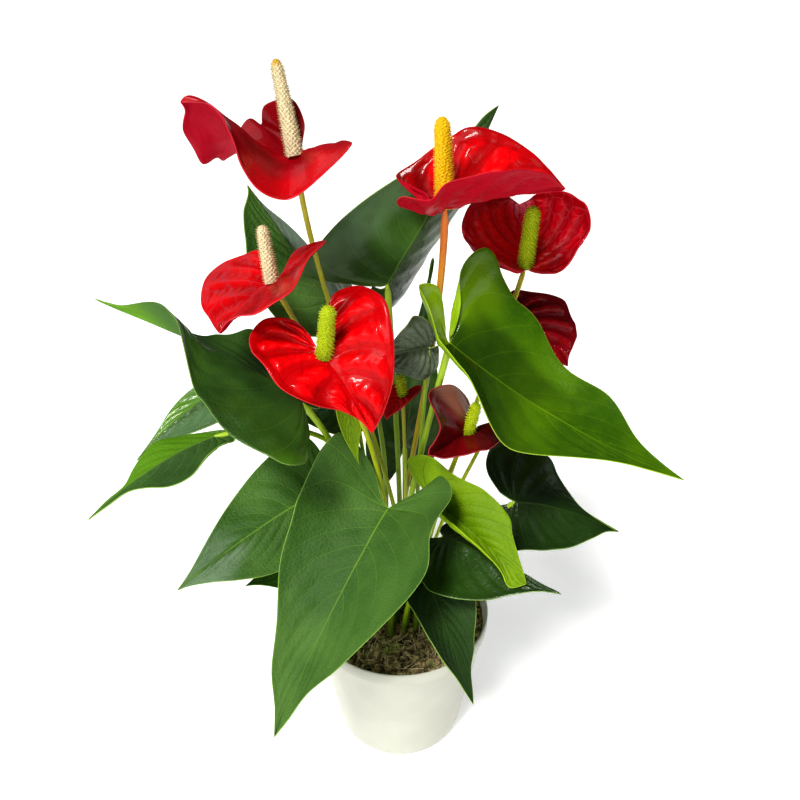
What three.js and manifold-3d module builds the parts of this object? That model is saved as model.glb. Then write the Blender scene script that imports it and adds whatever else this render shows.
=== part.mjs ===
// Potted anthurium: eight blooms and a clump of heart-shaped leaves, rising from peat in a round plastic pot.
// Millimetres, +Z up. The origin is the middle of the pot's underside, and -Y is the plant's front.
import * as THREE from 'three';
import { mergeVertices } from 'three/addons/utils/BufferGeometryUtils.js';
import Module from 'manifold-3d';

const wasm = await Module();
wasm.setup();

// The pot is a thin-walled round one, 120 mm across its rim, and the peat ends a little below the rim
const POT_RIM_RADIUS = 60;
const POT_HEIGHT = 105;
const POT_FOOT_RADIUS = 38;
const POT_WALL = 1.7;
const POT_FLOOR = 2.2;
const POT_SIDES = 40;
const DRAIN_HOLES = 6;
const DRAIN_RADIUS = 4;
const DRAIN_RING = 26;
const SOIL_LEVEL = 96;
const SOIL_RELIEF = 1.6;
const SOIL_RINGS = 7;
const SOIL_SIDES = 30;
const FIT_GAP = 0.35;

// Blades are thin sheets with a thicker rib, and stems are slim rods that stand this deep in the peat
const LEAF_THICKNESS = 0.8;
const SPATHE_THICKNESS = 0.9;
const RIB_EXTRA = 0.5;
const ROOT_DEPTH = 8;
const STEM_SIDES = 6;
const STEM_STEPS = 8;
const BLADE_ROWS = 10;
const BLADE_COLUMNS = 3;
const FAN_SHARE = 0.36;
const WIDEST_SHARE = 0.12;
const REACH_STATIONS = [-0.28, WIDEST_SHARE, 0.45, 0.7];
const SEAT_SHARE = 0.045;

// Each spadix has florets in staggered rows, which stand out of its core
const SPADIX_SIDES = 10;
const FLORET_PITCH = 3.5;
const FLORET_RELIEF = 0.45;

const COLOURS = {
  pot: 0xe9e8da,
  soil: 0x3a2a1e,
  darkLeaf: 0x1f4f22,
  midLeaf: 0x2f6b26,
  brightLeaf: 0x5f9c1a,
  youngLeaf: 0x9cc21f,
  red: 0xc4101c,
  deepRed: 0x8f0f18,
  maroon: 0x5a1418,
  cream: 0xe9dcae,
  yellow: 0xe3b52a,
  green: 0x9fb62a,
  stalk: 0x8ea32a,
  orangeStalk: 0xb8742c,
};

const plant = new THREE.Group();
const vec = (p) => new THREE.Vector3(...p);

function toSolid(geometry) {
  const bare = geometry.clone();
  for (const name of Object.keys(bare.attributes)) if (name !== 'position') bare.deleteAttribute(name);
  const merged = mergeVertices(bare, 1e-4);
  const corners = Array.from(merged.index.array);
  const faces = [];
  for (let i = 0; i < corners.length; i += 3) {
    const [a, b, c] = corners.slice(i, i + 3);
    if (a !== b && b !== c && a !== c) faces.push(a, b, c);
  }
  return new wasm.Manifold(new wasm.Mesh({
    numProp: 3,
    vertProperties: new Float32Array(merged.attributes.position.array),
    triVerts: new Uint32Array(faces),
  }));
}

function toGeometry(solid) {
  const mesh = solid.getMesh();
  const geometry = new THREE.BufferGeometry();
  geometry.setAttribute('position', new THREE.BufferAttribute(new Float32Array(mesh.vertProperties), 3));
  geometry.setIndex(new THREE.BufferAttribute(new Uint32Array(mesh.triVerts), 1));
  geometry.computeVertexNormals();
  return geometry;
}

function addPart(name, solid, colour, roughness) {
  const finish = new THREE.MeshStandardMaterial({ color: colour, roughness, metalness: 0 });
  const mesh = new THREE.Mesh(toGeometry(solid), finish);
  mesh.name = name;
  plant.add(mesh);
}

function largestPiece(solid) {
  return solid.decompose().reduce((best, piece) => (piece.volume() > best.volume() ? piece : best));
}

// ---- Blades: a heart-shaped sheet in two halves, which fan out from the joint and then off the midrib

// Half outlines from the inner end of the lobe round to the tip: [along, out], in blade lengths from the
// joint and in half widths
const OUTLINES = {
  leaf: [[-0.15, 0.1], [-0.24, 0.33], [-0.22, 0.64], [-0.07, 0.93], [0.13, 1], [0.35, 0.88], [0.57, 0.61],
    [0.76, 0.31], [0.9, 0.11], [1, 0]],
  spathe: [[-0.16, 0.07], [-0.33, 0.26], [-0.37, 0.53], [-0.22, 0.83], [0.03, 1], [0.26, 0.98], [0.48, 0.84],
    [0.68, 0.59], [0.84, 0.31], [0.94, 0.12], [1, 0]],
};

function ribCurve(joint, via, tip) {
  const [start, end] = [vec(joint), vec(tip)];
  if (via.length === 1) {
    const control = vec(via[0]).multiplyScalar(2).addScaledVector(start.clone().add(end), -0.5);
    return new THREE.QuadraticBezierCurve3(start, control, end);
  }
  const [a, b] = via.map(vec);
  const first = start.clone().multiplyScalar(-5).addScaledVector(a, 18).addScaledVector(b, -9);
  const second = end.clone().multiplyScalar(-5).addScaledVector(b, 18).addScaledVector(a, -9);
  first.addScaledVector(end, 2).divideScalar(6);
  second.addScaledVector(start, 2).divideScalar(6);
  return new THREE.CubicBezierCurve3(start, first, second, end);
}

// A half's reach from the midrib to its widest margin. One reach turns with the midrib, and four belong to
// the places of REACH_STATIONS along it and blend into each other.
function reachAt(out, rib, along, heading) {
  const reach = vec(out[0]);
  if (out.length === 1) {
    const bend = new THREE.Quaternion().setFromUnitVectors(rib.getTangent(WIDEST_SHARE), heading);
    return reach.applyQuaternion(bend);
  }
  for (let i = 1; i < out.length; i += 1) {
    reach.lerp(vec(out[i]), THREE.MathUtils.smoothstep(along, REACH_STATIONS[i - 1], REACH_STATIONS[i]));
  }
  return reach;
}

// A point of one half of a blade. across runs from 0 on the midrib to 1 on the margin, and edge is the place
// on the half outline that the row runs out to. Of the half's own values, out is its reach, belly is how far
// it sags between midrib and margin, and lobe and lift lengthen and raise its lobe.
function bladePoint(spec, half, side, rib, outline, edge, across) {
  const { out, belly = 0, lobe = 1, lift = 0 } = half;
  const [height, count, phase] = spec.ripple;
  const margin = outline.getPoint(edge);
  const base = Math.max(0, (edge - FAN_SHARE) / (1 - FAN_SHARE)) ** 1.2;
  const along = base + (margin.x - base) * across;
  const point = rib.getPoint(Math.max(along, 0));
  const heading = rib.getTangent(Math.max(along, 0));
  const reach = reachAt(out, rib, along, heading);
  const face = new THREE.Vector3().crossVectors(reach, heading).multiplyScalar(side).normalize();
  const behind = Math.max(0, -along);
  point.addScaledVector(heading, -behind * lobe * vec(spec.tip).distanceTo(vec(spec.joint)));
  point.addScaledVector(reach, margin.y * across);
  const wave = height * Math.sin(2 * Math.PI * count * edge + phase + (side > 0 ? 0 : 2)) * across ** 2;
  const sag = 4 * belly * across * (1 - across) * margin.y;
  return point.addScaledVector(face, wave * Math.min(1, 3 * margin.y) - sag + lift * (behind / 0.25) ** 1.5);
}

// The blade's middle surface, as points and triangles that face the blade's upper side
function bladeSheet(spec, shape) {
  const rib = ribCurve(spec.joint, spec.via, spec.tip);
  const outline = new THREE.SplineCurve(OUTLINES[shape].map(([along, out]) => new THREE.Vector2(along, out)));
  const points = [vec(spec.joint), vec(spec.tip)];
  const spread = [0, 0];
  const ribIds = [];
  const addPoint = (point, across) => {
    points.push(point);
    spread.push(across);
    return points.length - 1;
  };
  for (let row = 0; row <= BLADE_ROWS; row += 1) {
    const base = Math.max(0, (row / BLADE_ROWS - FAN_SHARE) / (1 - FAN_SHARE)) ** 1.2;
    if (row === BLADE_ROWS) ribIds.push(1);
    else ribIds.push(base === 0 ? 0 : addPoint(rib.getPoint(base), 0));
  }
  const triangles = [];
  for (const [half, side] of [[spec.left, -1], [spec.right, 1]]) {
    const ids = ribIds.map((ribId, row) => {
      const line = [ribId];
      for (let column = 1; column <= BLADE_COLUMNS; column += 1) {
        const across = column / BLADE_COLUMNS;
        const edge = row / BLADE_ROWS;
        const isTip = row === BLADE_ROWS;
        line.push(isTip ? 1 : addPoint(bladePoint(spec, half, side, rib, outline, edge, across), across));
      }
      return line;
    });
    for (let row = 0; row < BLADE_ROWS; row += 1) {
      for (let column = 0; column < BLADE_COLUMNS; column += 1) {
        const [a, b] = [ids[row][column], ids[row + 1][column]];
        const [e, d] = [ids[row][column + 1], ids[row + 1][column + 1]];
        for (const [p, q, r] of [[a, e, d], [a, d, b]]) {
          if (p !== q && q !== r && p !== r) triangles.push(side > 0 ? [p, q, r] : [p, r, q]);
        }
      }
    }
  }
  return { points, spread, triangles };
}

// Gives a sheet its thickness on both sides and closes it round its edge
function thicken({ points, spread, triangles }, thickness) {
  const normals = points.map(() => new THREE.Vector3());
  const edges = new Map();
  for (const [a, b, c] of triangles) {
    const normal = points[b].clone().sub(points[a]).cross(points[c].clone().sub(points[a]));
    for (const id of [a, b, c]) normals[id].add(normal);
    for (const [p, q] of [[a, b], [b, c], [c, a]]) {
      const key = `${Math.min(p, q)},${Math.max(p, q)}`;
      edges.set(key, edges.has(key) ? null : [p, q]);
    }
  }
  const count = points.length;
  const position = new Float32Array(count * 6);
  points.forEach((point, id) => {
    const half = thickness / 2 + RIB_EXTRA * (1 - spread[id]) ** 2;
    normals[id].normalize();
    point.clone().addScaledVector(normals[id], thickness / 2).toArray(position, id * 3);
    point.clone().addScaledVector(normals[id], -half).toArray(position, (id + count) * 3);
  });
  const faces = triangles.flatMap(([a, b, c]) => [a, b, c, a + count, c + count, b + count]);
  for (const edge of edges.values()) {
    if (edge) faces.push(edge[1], edge[0], edge[0] + count, edge[1], edge[0] + count, edge[1] + count);
  }
  const geometry = new THREE.BufferGeometry();
  geometry.setAttribute('position', new THREE.BufferAttribute(position, 3));
  geometry.setIndex(faces);
  return geometry;
}

// ---- Stems: a rod from its hole in the peat to the joint of its blade, through the points that it passes

function stemCurve(root, via, top, drop) {
  const start = [root[0], root[1], SOIL_LEVEL - ROOT_DEPTH - drop];
  if (via.length > 0) return ribCurve(start, via, top);
  const rise = vec(top).sub(vec(start));
  const first = vec(start).add(vec([0, 0, rise.z * 0.5]));
  const second = vec(start).add(vec([rise.x * 0.72, rise.y * 0.72, rise.z * 0.85]));
  return new THREE.CubicBezierCurve3(vec(start), first, second, vec(top));
}

function stemSolid({ root, path = [] }, top, radius, drop = 0) {
  const section = new THREE.Shape();
  for (let i = 0; i < STEM_SIDES; i += 1) {
    const angle = (i / STEM_SIDES) * 2 * Math.PI;
    const corner = [radius * Math.cos(angle), radius * Math.sin(angle)];
    if (i === 0) section.moveTo(...corner);
    else section.lineTo(...corner);
  }
  const extrudePath = stemCurve(root, path, top, drop);
  return toSolid(new THREE.ExtrudeGeometry(section, { steps: STEM_STEPS, extrudePath, bevelEnabled: false }));
}

const soilHoles = [];

function bedStem(stem, top, radius) {
  soilHoles.push(stemSolid(stem, top, radius + FIT_GAP, FIT_GAP));
  return stemSolid(stem, top, radius);
}

// ---- Leaves: blade and stalk are one piece. left and right are as seen from the joint towards the tip.

const LEAVES = [
  { name: 'leaf_right_bright', colour: COLOURS.brightLeaf, root: [-2, -4],
    path: [[2, -5, 168], [13, -6, 240]],
    joint: [27, -10, 312], via: [[86, -32, 277]], tip: [153, -52, 251], stem: 1.9, ripple: [1.5, 2.5, 1],
    left: { out: [[36, 26, 60], [20, 20, 24], [16, 24, 24], [15, 28, 28]], belly: 3, lobe: 0.4 },
    right: { out: [[-18, -25, 38], [-11, -27, 0], [-17, -32, -16], [-12, -27, -20]], belly: 2, lobe: 0.35,
      lift: 14 } },
  { name: 'leaf_front_large', colour: COLOURS.darkLeaf, root: [-6, -18],
    joint: [-7, -30, 214], via: [[-36, -75, 182]], tip: [-71, -110, 114], stem: 1.9, ripple: [1.5, 3, 0],
    left: { out: [[32, -40, 13]], belly: 4, lobe: 0.7, lift: 4 },
    right: { out: [[-48, -13, 77], [-50, 9, 17], [-46, 13, 16], [-46, 13, 16]], belly: 5, lobe: 0.3 } },
  { name: 'leaf_left_dark', colour: COLOURS.darkLeaf, root: [-17, -6],
    path: [[-20, -9, 153], [-28, -15, 218]],
    joint: [-53, -25, 283], via: [[-99, -4, 302]], tip: [-176, 28, 321], stem: 1.8, ripple: [1.5, 2.5, 0],
    left: { out: [[-3, -50, -17], [-4, -49, -14], [-24, -46, -10], [10, -14, 32]], belly: -3, lobe: 0.3 },
    right: { out: [[-6, 42, 10], [-22, 46, 12], [-14, 36, 6], [4, 26, 2]], belly: 3, lobe: 0.5 } },
  { name: 'leaf_left_low_tip', colour: COLOURS.darkLeaf, root: [-20, 8],
    path: [[-28, 13, 205], [-60, 8, 243]],
    joint: [-109, -5, 248], via: [[-143, -22, 237]], tip: [-178, -42, 215], stem: 1.7, ripple: [1, 2, 0],
    left: { out: [[8, -23, -4]], belly: 2 }, right: { out: [[-10, 25, 0]], belly: 2 } },
  { name: 'leaf_left_back', colour: COLOURS.darkLeaf, root: [-14, 12],
    joint: [-104, 46, 257], via: [[-136, 30, 241]], tip: [-163, 8, 221], stem: 1.7, ripple: [1, 2, 1],
    left: { out: [[13, -24, -4]], belly: 3, lobe: 0.5 }, right: { out: [[-5, 11, 0]], belly: 2 } },
  { name: 'leaf_left_inner', colour: COLOURS.darkLeaf, root: [-10, 2],
    joint: [-33, 10, 258], via: [[-56, 15, 257]], tip: [-80, 20, 252], stem: 1.4, ripple: [1, 2, 0],
    left: { out: [[2, -13, -12]], belly: 2 }, right: { out: [[0, 14, 13]], belly: 2 } },
  { name: 'leaf_left_low', colour: COLOURS.darkLeaf, root: [-15, 3],
    joint: [-49, -14, 214], via: [[-87, -39, 202]], tip: [-126, -66, 184], stem: 1.7, ripple: [1.5, 2.5, 2],
    left: { out: [[-2, -31, -20]], belly: 3 }, right: { out: [[-13, 33, 18]], belly: 3, lobe: 0.4 } },
  { name: 'leaf_left_small', colour: COLOURS.darkLeaf, root: [-21, 1],
    joint: [-42, 0, 158], via: [[-68, -18, 161]], tip: [-94, -40, 162], stem: 1.4, ripple: [1, 2, 0],
    left: { out: [[6, -24, -12]], belly: 2, lobe: 0.3 }, right: { out: [[-8, 14, 4]], belly: 2, lobe: 0.3 } },
  { name: 'leaf_back_left', colour: COLOURS.darkLeaf, root: [-8, 9], path: [[-9, 13, 170], [-13, 16, 245]],
    joint: [-40, 30, 319], via: [[-66, 47, 349]], tip: [-88, 62, 377], stem: 1.6, ripple: [1.5, 2, 0],
    left: { out: [[-38, -14, -4], [-36, -12, 4], [-31, -9, 12], [-30, -10, 22]], belly: 3 },
    right: { out: [[4, 34, -8]], belly: 3 } },
  { name: 'leaf_back_far', colour: COLOURS.darkLeaf, root: [-6, 17],
    joint: [-31, 70, 298], via: [[-60, 90, 321]], tip: [-92, 106, 338], stem: 1.6, ripple: [1.5, 2, 0],
    left: { out: [[-33, -12, -6]], belly: 3 }, right: { out: [[6, 34, -2]], belly: 3 } },
  { name: 'leaf_back_glossy', colour: COLOURS.midLeaf, root: [1, 9],
    joint: [-7, 12, 337], via: [[23, 35, 381]], tip: [54, 62, 421], stem: 1.7, ripple: [1.5, 2, 0],
    left: { out: [[-36, -14, 16], [-40, -12, 16], [-36, -11, 20], [-30, -10, 24]], belly: 3 },
    right: { out: [[18, 36, -6], [20, 36, -16], [18, 30, -24], [16, 26, -30]], belly: -3 } },
  { name: 'leaf_centre_crinkled', colour: COLOURS.darkLeaf, root: [9, 1],
    joint: [16, -5, 307], via: [[0, -11, 306]], tip: [-20, -16, 300], stem: 1.3, ripple: [1.2, 4, 0],
    left: { out: [[0, -3, -18]], belly: -1, lobe: 0.3 },
    right: { out: [[-2, 0, 18]], belly: -1, lobe: 0.3 } },
  { name: 'leaf_front_young', colour: COLOURS.youngLeaf, root: [10, -15],
    path: [[10, -15, 129], [11, -14, 170]],
    joint: [23, -20, 210], via: [[47, -46, 204]], tip: [71, -66, 189], stem: 1.4, ripple: [1, 2, 0],
    left: { out: [[-16, -9, 41], [12, 2, 22], [12, 4, 20], [12, 4, 20]], belly: -3, lobe: 0.6 },
    right: { out: [[-18, -18, 0]], belly: 2 } },
  { name: 'leaf_right_low', colour: COLOURS.darkLeaf, root: [18, -9],
    joint: [26, -26, 189], via: [[50, -44, 191]], tip: [90, -72, 187], stem: 1.6, ripple: [1.5, 2, 0],
    left: { out: [[18, 18, 6]], belly: 3, lobe: 0.4 },
    right: { out: [[-18, -27, -8]], belly: 3, lobe: 0.7 } },
  { name: 'leaf_right_dark', colour: COLOURS.darkLeaf, root: [18, -1],
    joint: [72, 0, 195], via: [[99, -18, 203]], tip: [125, -45, 209], stem: 1.7, ripple: [1.5, 2, 0],
    left: { out: [[9, 38, 12]], belly: 3 }, right: { out: [[-9, -30, -12]], belly: 3 } },
  { name: 'leaf_front_low', colour: COLOURS.darkLeaf, root: [2, -18],
    joint: [15, -38, 169], via: [[28, -62, 148]], tip: [44, -82, 106], stem: 1.5, ripple: [1, 2, 0],
    left: { out: [[27, -6, -2]], belly: 3 }, right: { out: [[-20, -18, 6]], belly: 3 } },
  { name: 'leaf_back_centre', colour: COLOURS.darkLeaf, root: [3, 17],
    joint: [3, 28, 219], via: [[11, 37, 280]], tip: [19, 37, 343], stem: 1.5, ripple: [1, 2, 0],
    left: { out: [[-27, 4, 4], [-25, 4, 4], [-13, 4, 2], [-8, 4, 2]], belly: 3 },
    right: { out: [[22, 8, -4], [24, 8, -4], [16, 6, -2], [8, 4, 0]], belly: 3 } },
  { name: 'leaf_young_narrow', colour: COLOURS.youngLeaf, root: [-13, -13],
    joint: [-27, -20, 292], via: [[-25, -26, 268]], tip: [-22, -22, 241], stem: 1.2, ripple: [0.4, 2, 0],
    left: { out: [[8, -3, 0]], belly: 1 }, right: { out: [[-8, -2, 0]], belly: 1 } },
];

function makeLeaf(leaf) {
  const blade = toSolid(thicken(bladeSheet(leaf, 'leaf'), LEAF_THICKNESS));
  return blade.add(bedStem(leaf, leaf.joint, leaf.stem));
}

for (const leaf of LEAVES) addPart(leaf.name, makeLeaf(leaf), leaf.colour, 0.42);

// ---- Blooms: a stalk, the coloured spathe that sits on its top, and the spadix that stands on the spathe

const BLOOMS = [
  { name: 'upper_left', root: [4, -11], path: [[-4, -9, 200], [-31, -9, 310]], stalk: 1.3,
    colour: COLOURS.deepRed, spadixColour: COLOURS.cream, stalkColour: COLOURS.stalk,
    joint: [-48, -10, 414], via: [[-65, -13, 418], [-84, -17, 436]], tip: [-98, -22, 439],
    spadixTip: [-57, -2, 454], spadixRadius: [3.9, 2.2], ripple: [1, 2, 0],
    left: { out: [[24, -36, 5], [0, -25, -14], [-4, -27, -12], [0, -22, -8]], lobe: 0.6 },
    right: { out: [[-20, 34, 24], [-15, 32, 16], [-20, 26, -20], [-30, 30, -54]], lobe: 0.5 } },
  { name: 'middle_left', root: [-10, -5], path: [[-13, -9, 176], [-32, -14, 265]], stalk: 1.3,
    colour: COLOURS.red, spadixColour: COLOURS.cream, stalkColour: COLOURS.stalk,
    joint: [-63, -20, 353], via: [[-78, -28, 343]], tip: [-91, -34, 330], spadixTip: [-68, -16, 380],
    spadixRadius: [3.5, 2.4], ripple: [1, 2, 0],
    left: { out: [[13, -28, 5]], lobe: 2 }, right: { out: [[-31, 22, 4]] } },
  { name: 'upper_middle', root: [-4, 3], path: [[3, 5, 192], [16, 2, 288]], stalk: 1.7,
    colour: COLOURS.red, spadixColour: COLOURS.yellow, stalkColour: COLOURS.orangeStalk,
    joint: [20, -8, 385], via: [[48, -14, 394]], tip: [79, -18, 399], spadixTip: [20, 0, 428],
    spadixRadius: [4.4, 3.2], ripple: [1, 2, 0],
    left: { out: [[-2, 32, 34], [4, 38, 28], [8, 42, 24], [10, 44, 22]], belly: 4 },
    right: { out: [[3, -34, 26], [4, -28, 23], [0, -30, 24], [-4, -32, 26]], belly: 3 } },
  { name: 'front', root: [-5, -11], path: [[-6, -13, 168], [-15, -26, 250]], stalk: 1.5,
    colour: COLOURS.red, spadixColour: COLOURS.green, stalkColour: COLOURS.stalk,
    joint: [-39, -42, 323], via: [[-26, -54, 309]], tip: [-14, -62, 288], spadixTip: [-34, -50, 352],
    spadixRadius: [3.8, 3], ripple: [1, 2, 0],
    left: { out: [[30, 6, 24]], lobe: 1.2 }, right: { out: [[-34, -6, 2]], lobe: 1.2 } },
  { name: 'right_cupped', root: [10, 8], path: [[23, 8, 175], [46, 12, 262]], stalk: 1.4,
    colour: COLOURS.deepRed, spadixColour: COLOURS.green, stalkColour: COLOURS.stalk,
    joint: [71, 28, 339.6], via: [[69.9, 47.8, 350.1]], tip: [68.9, 58.3, 366.8], spadixTip: [71, 20.7, 377.2],
    spadixRadius: [4, 3.2], ripple: [1, 2, 0],
    left: { out: [[-36.5, -2.1, 33.4], [-35.5, -14.6, 27.1], [-35.5, -15.7, 31.3], [-35.5, -16.7, 35.5]], belly: 6 },
    right: { out: [[32.4, -9.4, 27.1], [28.2, -14.6, 25.1], [28.2, -16.7, 31.3], [32.4, -18.8, 35.5]], belly: 6 } },
  { name: 'right_low', root: [17, 7], path: [[28, 10, 172], [55, 20, 236]], stalk: 1.2,
    colour: COLOURS.maroon, spadixColour: COLOURS.green, stalkColour: COLOURS.stalk,
    joint: [66, 35, 305], via: [[84, 28, 297]], tip: [99, 18, 282], spadixTip: [54, 40, 326],
    spadixRadius: [3.2, 2.4], ripple: [1, 2, 0],
    left: { out: [[26, 18, 12], [31, 17, 8], [27, 18, 5], [22, 18, 2]], lobe: 0.8 },
    right: { out: [[-10, -8, -18]], lobe: 0.6 } },
  { name: 'centre_small', root: [5, -1], stalk: 1,
    colour: COLOURS.red, spadixColour: COLOURS.green, stalkColour: COLOURS.stalk,
    joint: [2, 3, 272], via: [[-3, -4, 269]], tip: [-8, -12, 264], spadixTip: [0, 3, 284],
    spadixRadius: [2.8, 2.2], ripple: [0.6, 2, 0],
    left: { out: [[9, -2, 2]], lobe: 1.2 }, right: { out: [[-9, 1, 4]] } },
  { name: 'right_dark', root: [11, -6], stalk: 1.3,
    colour: COLOURS.maroon, spadixColour: COLOURS.green, stalkColour: COLOURS.stalk,
    joint: [40, -10, 255], via: [[28, -21, 254]], tip: [16, -32, 253], spadixTip: [43, -14, 276],
    spadixRadius: [3.4, 2.4], ripple: [1, 2, 0],
    left: { out: [[12, -18, -1]], lobe: 1.5 }, right: { out: [[-12, -11, 33]] } },
];

function makeSpadix({ spadixTip, spadixRadius: [footRadius, tipRadius] }, foot) {
  const axis = vec(spadixTip).sub(foot);
  const rings = Math.max(6, Math.round(axis.length() / FLORET_PITCH));
  const profile = [new THREE.Vector2(0, 0)];
  for (let ring = 0; ring <= rings; ring += 1) {
    const share = ring / rings;
    const dome = Math.sqrt(1 - Math.max(0, (share - 0.88) / 0.14) ** 2);
    const radius = (footRadius + (tipRadius - footRadius) * share) * dome;
    profile.push(new THREE.Vector2(radius, share * axis.length()));
  }
  profile.push(new THREE.Vector2(0, axis.length() * 1.01));
  const geometry = new THREE.LatheGeometry(profile, SPADIX_SIDES);
  const place = geometry.attributes.position;
  for (let i = 0; i < place.count; i += 1) {
    const ring = i % profile.length;
    const side = Math.floor(i / profile.length);
    const isCap = ring === 0 || ring === profile.length - 1;
    const raise = !isCap && (ring + side) % 2 === 0 ? 1 + FLORET_RELIEF / footRadius : 1;
    place.setXYZ(i, place.getX(i) * raise, place.getY(i), place.getZ(i) * raise);
  }
  const upright = new THREE.Vector3(0, 1, 0);
  geometry.applyQuaternion(new THREE.Quaternion().setFromUnitVectors(upright, axis.clone().normalize()));
  geometry.translate(...foot.toArray());
  return toSolid(geometry);
}

for (const bloom of BLOOMS) {
  const sheet = bladeSheet(bloom, 'spathe');
  const spathe = toSolid(thicken(sheet, SPATHE_THICKNESS));
  const clearance = toSolid(thicken(sheet, SPATHE_THICKNESS + 2 * FIT_GAP));
  const seat = ribCurve(bloom.joint, bloom.via, bloom.tip).getPoint(SEAT_SHARE);
  const hollow = new THREE.IcosahedronGeometry(0.75 * bloom.spadixRadius[0]).translate(...bloom.joint);
  const stalk = largestPiece(bedStem(bloom, seat.toArray(), bloom.stalk).subtract(clearance));
  const spadix = largestPiece(makeSpadix(bloom, seat).subtract(clearance).subtract(toSolid(hollow)));
  addPart(`stalk_${bloom.name}`, stalk, bloom.stalkColour, 0.5);
  addPart(`spathe_${bloom.name}`, spathe, bloom.colour, 0.25);
  addPart(`spadix_${bloom.name}`, spadix, bloom.spadixColour, 0.6);
}

// ---- Pot: one turned shell with a rounded foot, a plain rim and drain holes in its floor

const POT_OUTSIDE = [[POT_FOOT_RADIUS, 0], [41.5, 1.4], [43.8, 4.8], [45, 10], [52, 55], [58.6, 95],
  [POT_RIM_RADIUS, 96], [POT_RIM_RADIUS, POT_HEIGHT - 0.8], [POT_RIM_RADIUS - 0.5, POT_HEIGHT]];

function turned(profile, sides) {
  const geometry = new THREE.LatheGeometry(profile.map(([r, z]) => new THREE.Vector2(r, z)), sides);
  return geometry.rotateX(Math.PI / 2);
}

function potInside() {
  const wall = POT_OUTSIDE.filter(([, z]) => z > POT_FLOOR && z < POT_HEIGHT - 1);
  return [[0, POT_FLOOR], [POT_FOOT_RADIUS, POT_FLOOR], ...wall.map(([r, z]) => [r - POT_WALL, z])];
}

function makePot() {
  const rimInside = [POT_RIM_RADIUS - POT_WALL, POT_HEIGHT];
  const profile = [[0, 0], ...POT_OUTSIDE, rimInside, ...potInside().reverse()];
  let pot = toSolid(turned(profile, POT_SIDES));
  for (let i = 0; i < DRAIN_HOLES; i += 1) {
    const angle = (i / DRAIN_HOLES) * 2 * Math.PI;
    const hole = new THREE.CylinderGeometry(DRAIN_RADIUS, DRAIN_RADIUS, 4 * POT_FLOOR, 8);
    hole.rotateX(Math.PI / 2);
    hole.translate(DRAIN_RING * Math.cos(angle), DRAIN_RING * Math.sin(angle), 0);
    pot = pot.subtract(toSolid(hole));
  }
  return pot;
}

addPart('pot', makePot(), COLOURS.pot, 0.45);

// ---- Peat: it fills the pot, has a lumpy top, and holds each stem in a plain hole

function makeSoil() {
  const inner = potInside().filter(([r, z]) => r > 0 && z < SOIL_LEVEL - 2);
  const side = inner.map(([r, z]) => [r - FIT_GAP, z === POT_FLOOR ? z + FIT_GAP : z]);
  const top = [];
  const slope = (POT_RIM_RADIUS - POT_WALL - 45) / (POT_HEIGHT - 20);
  const edge = 45 + slope * (SOIL_LEVEL - 20) - 2 * FIT_GAP - 1;
  for (let ring = 0; ring < SOIL_RINGS; ring += 1) top.push([edge * (1 - ring / SOIL_RINGS), SOIL_LEVEL]);
  const profile = [[0, POT_FLOOR + FIT_GAP], ...side, ...top, [0, SOIL_LEVEL]];
  const geometry = turned(profile, SOIL_SIDES);
  const place = geometry.attributes.position;
  for (let i = 0; i < place.count; i += 1) {
    const [x, y, z] = [place.getX(i), place.getY(i), place.getZ(i)];
    if (z < SOIL_LEVEL - 0.01) continue;
    const lumps = Math.sin(x * 0.31 + 1.3) * Math.cos(y * 0.27) + Math.sin(x * 0.73 - y * 0.59 + 2);
    place.setZ(i, z + SOIL_RELIEF * lumps * 0.5);
  }
  return largestPiece(toSolid(geometry).subtract(wasm.Manifold.union(soilHoles)));
}

addPart('soil', makeSoil(), COLOURS.soil, 0.95);

export default plant;
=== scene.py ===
# Potted anthurium: glossy heart-shaped leaves and lacquered red blooms in a plain round pot. Metres, +Z up,
# with the origin in the middle of the pot's underside. The tables are in millimetres.
import math

import bpy
import numpy as np
from mathutils import Matrix, Vector


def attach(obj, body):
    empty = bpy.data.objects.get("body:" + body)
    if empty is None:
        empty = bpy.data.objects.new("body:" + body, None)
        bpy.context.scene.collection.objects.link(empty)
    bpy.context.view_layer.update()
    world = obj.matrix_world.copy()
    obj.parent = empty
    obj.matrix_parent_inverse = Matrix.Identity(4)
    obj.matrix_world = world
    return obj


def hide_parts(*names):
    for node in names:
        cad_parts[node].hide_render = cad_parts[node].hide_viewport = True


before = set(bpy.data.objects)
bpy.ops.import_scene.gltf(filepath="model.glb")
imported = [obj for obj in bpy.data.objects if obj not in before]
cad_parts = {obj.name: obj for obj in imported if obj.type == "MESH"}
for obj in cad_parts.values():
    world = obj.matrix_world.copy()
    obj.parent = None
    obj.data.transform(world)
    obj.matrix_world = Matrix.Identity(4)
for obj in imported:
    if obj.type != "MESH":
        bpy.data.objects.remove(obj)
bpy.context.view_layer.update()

scene = bpy.context.scene
MM = 0.001

# ---- Camera: it stands in front of the plant and a little above it, and looks down over the leaves to the
# pot. FOCAL_SHARE is its focal length as a share of the picture's width.
CAMERA_PLACE = (0, -0.400, 0.515)
CAMERA_PITCH = 31.5
FOCAL_SHARE = 811 / 800
SENSOR_WIDTH = 36

lens = bpy.data.cameras.new("camera")
lens.sensor_width = SENSOR_WIDTH
lens.lens = SENSOR_WIDTH * FOCAL_SHARE
camera = bpy.data.objects.new("camera", lens)
camera.location = CAMERA_PLACE
camera.rotation_euler = (math.radians(90 - CAMERA_PITCH), 0, 0)
scene.collection.objects.link(camera)
scene.camera = camera

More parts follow.
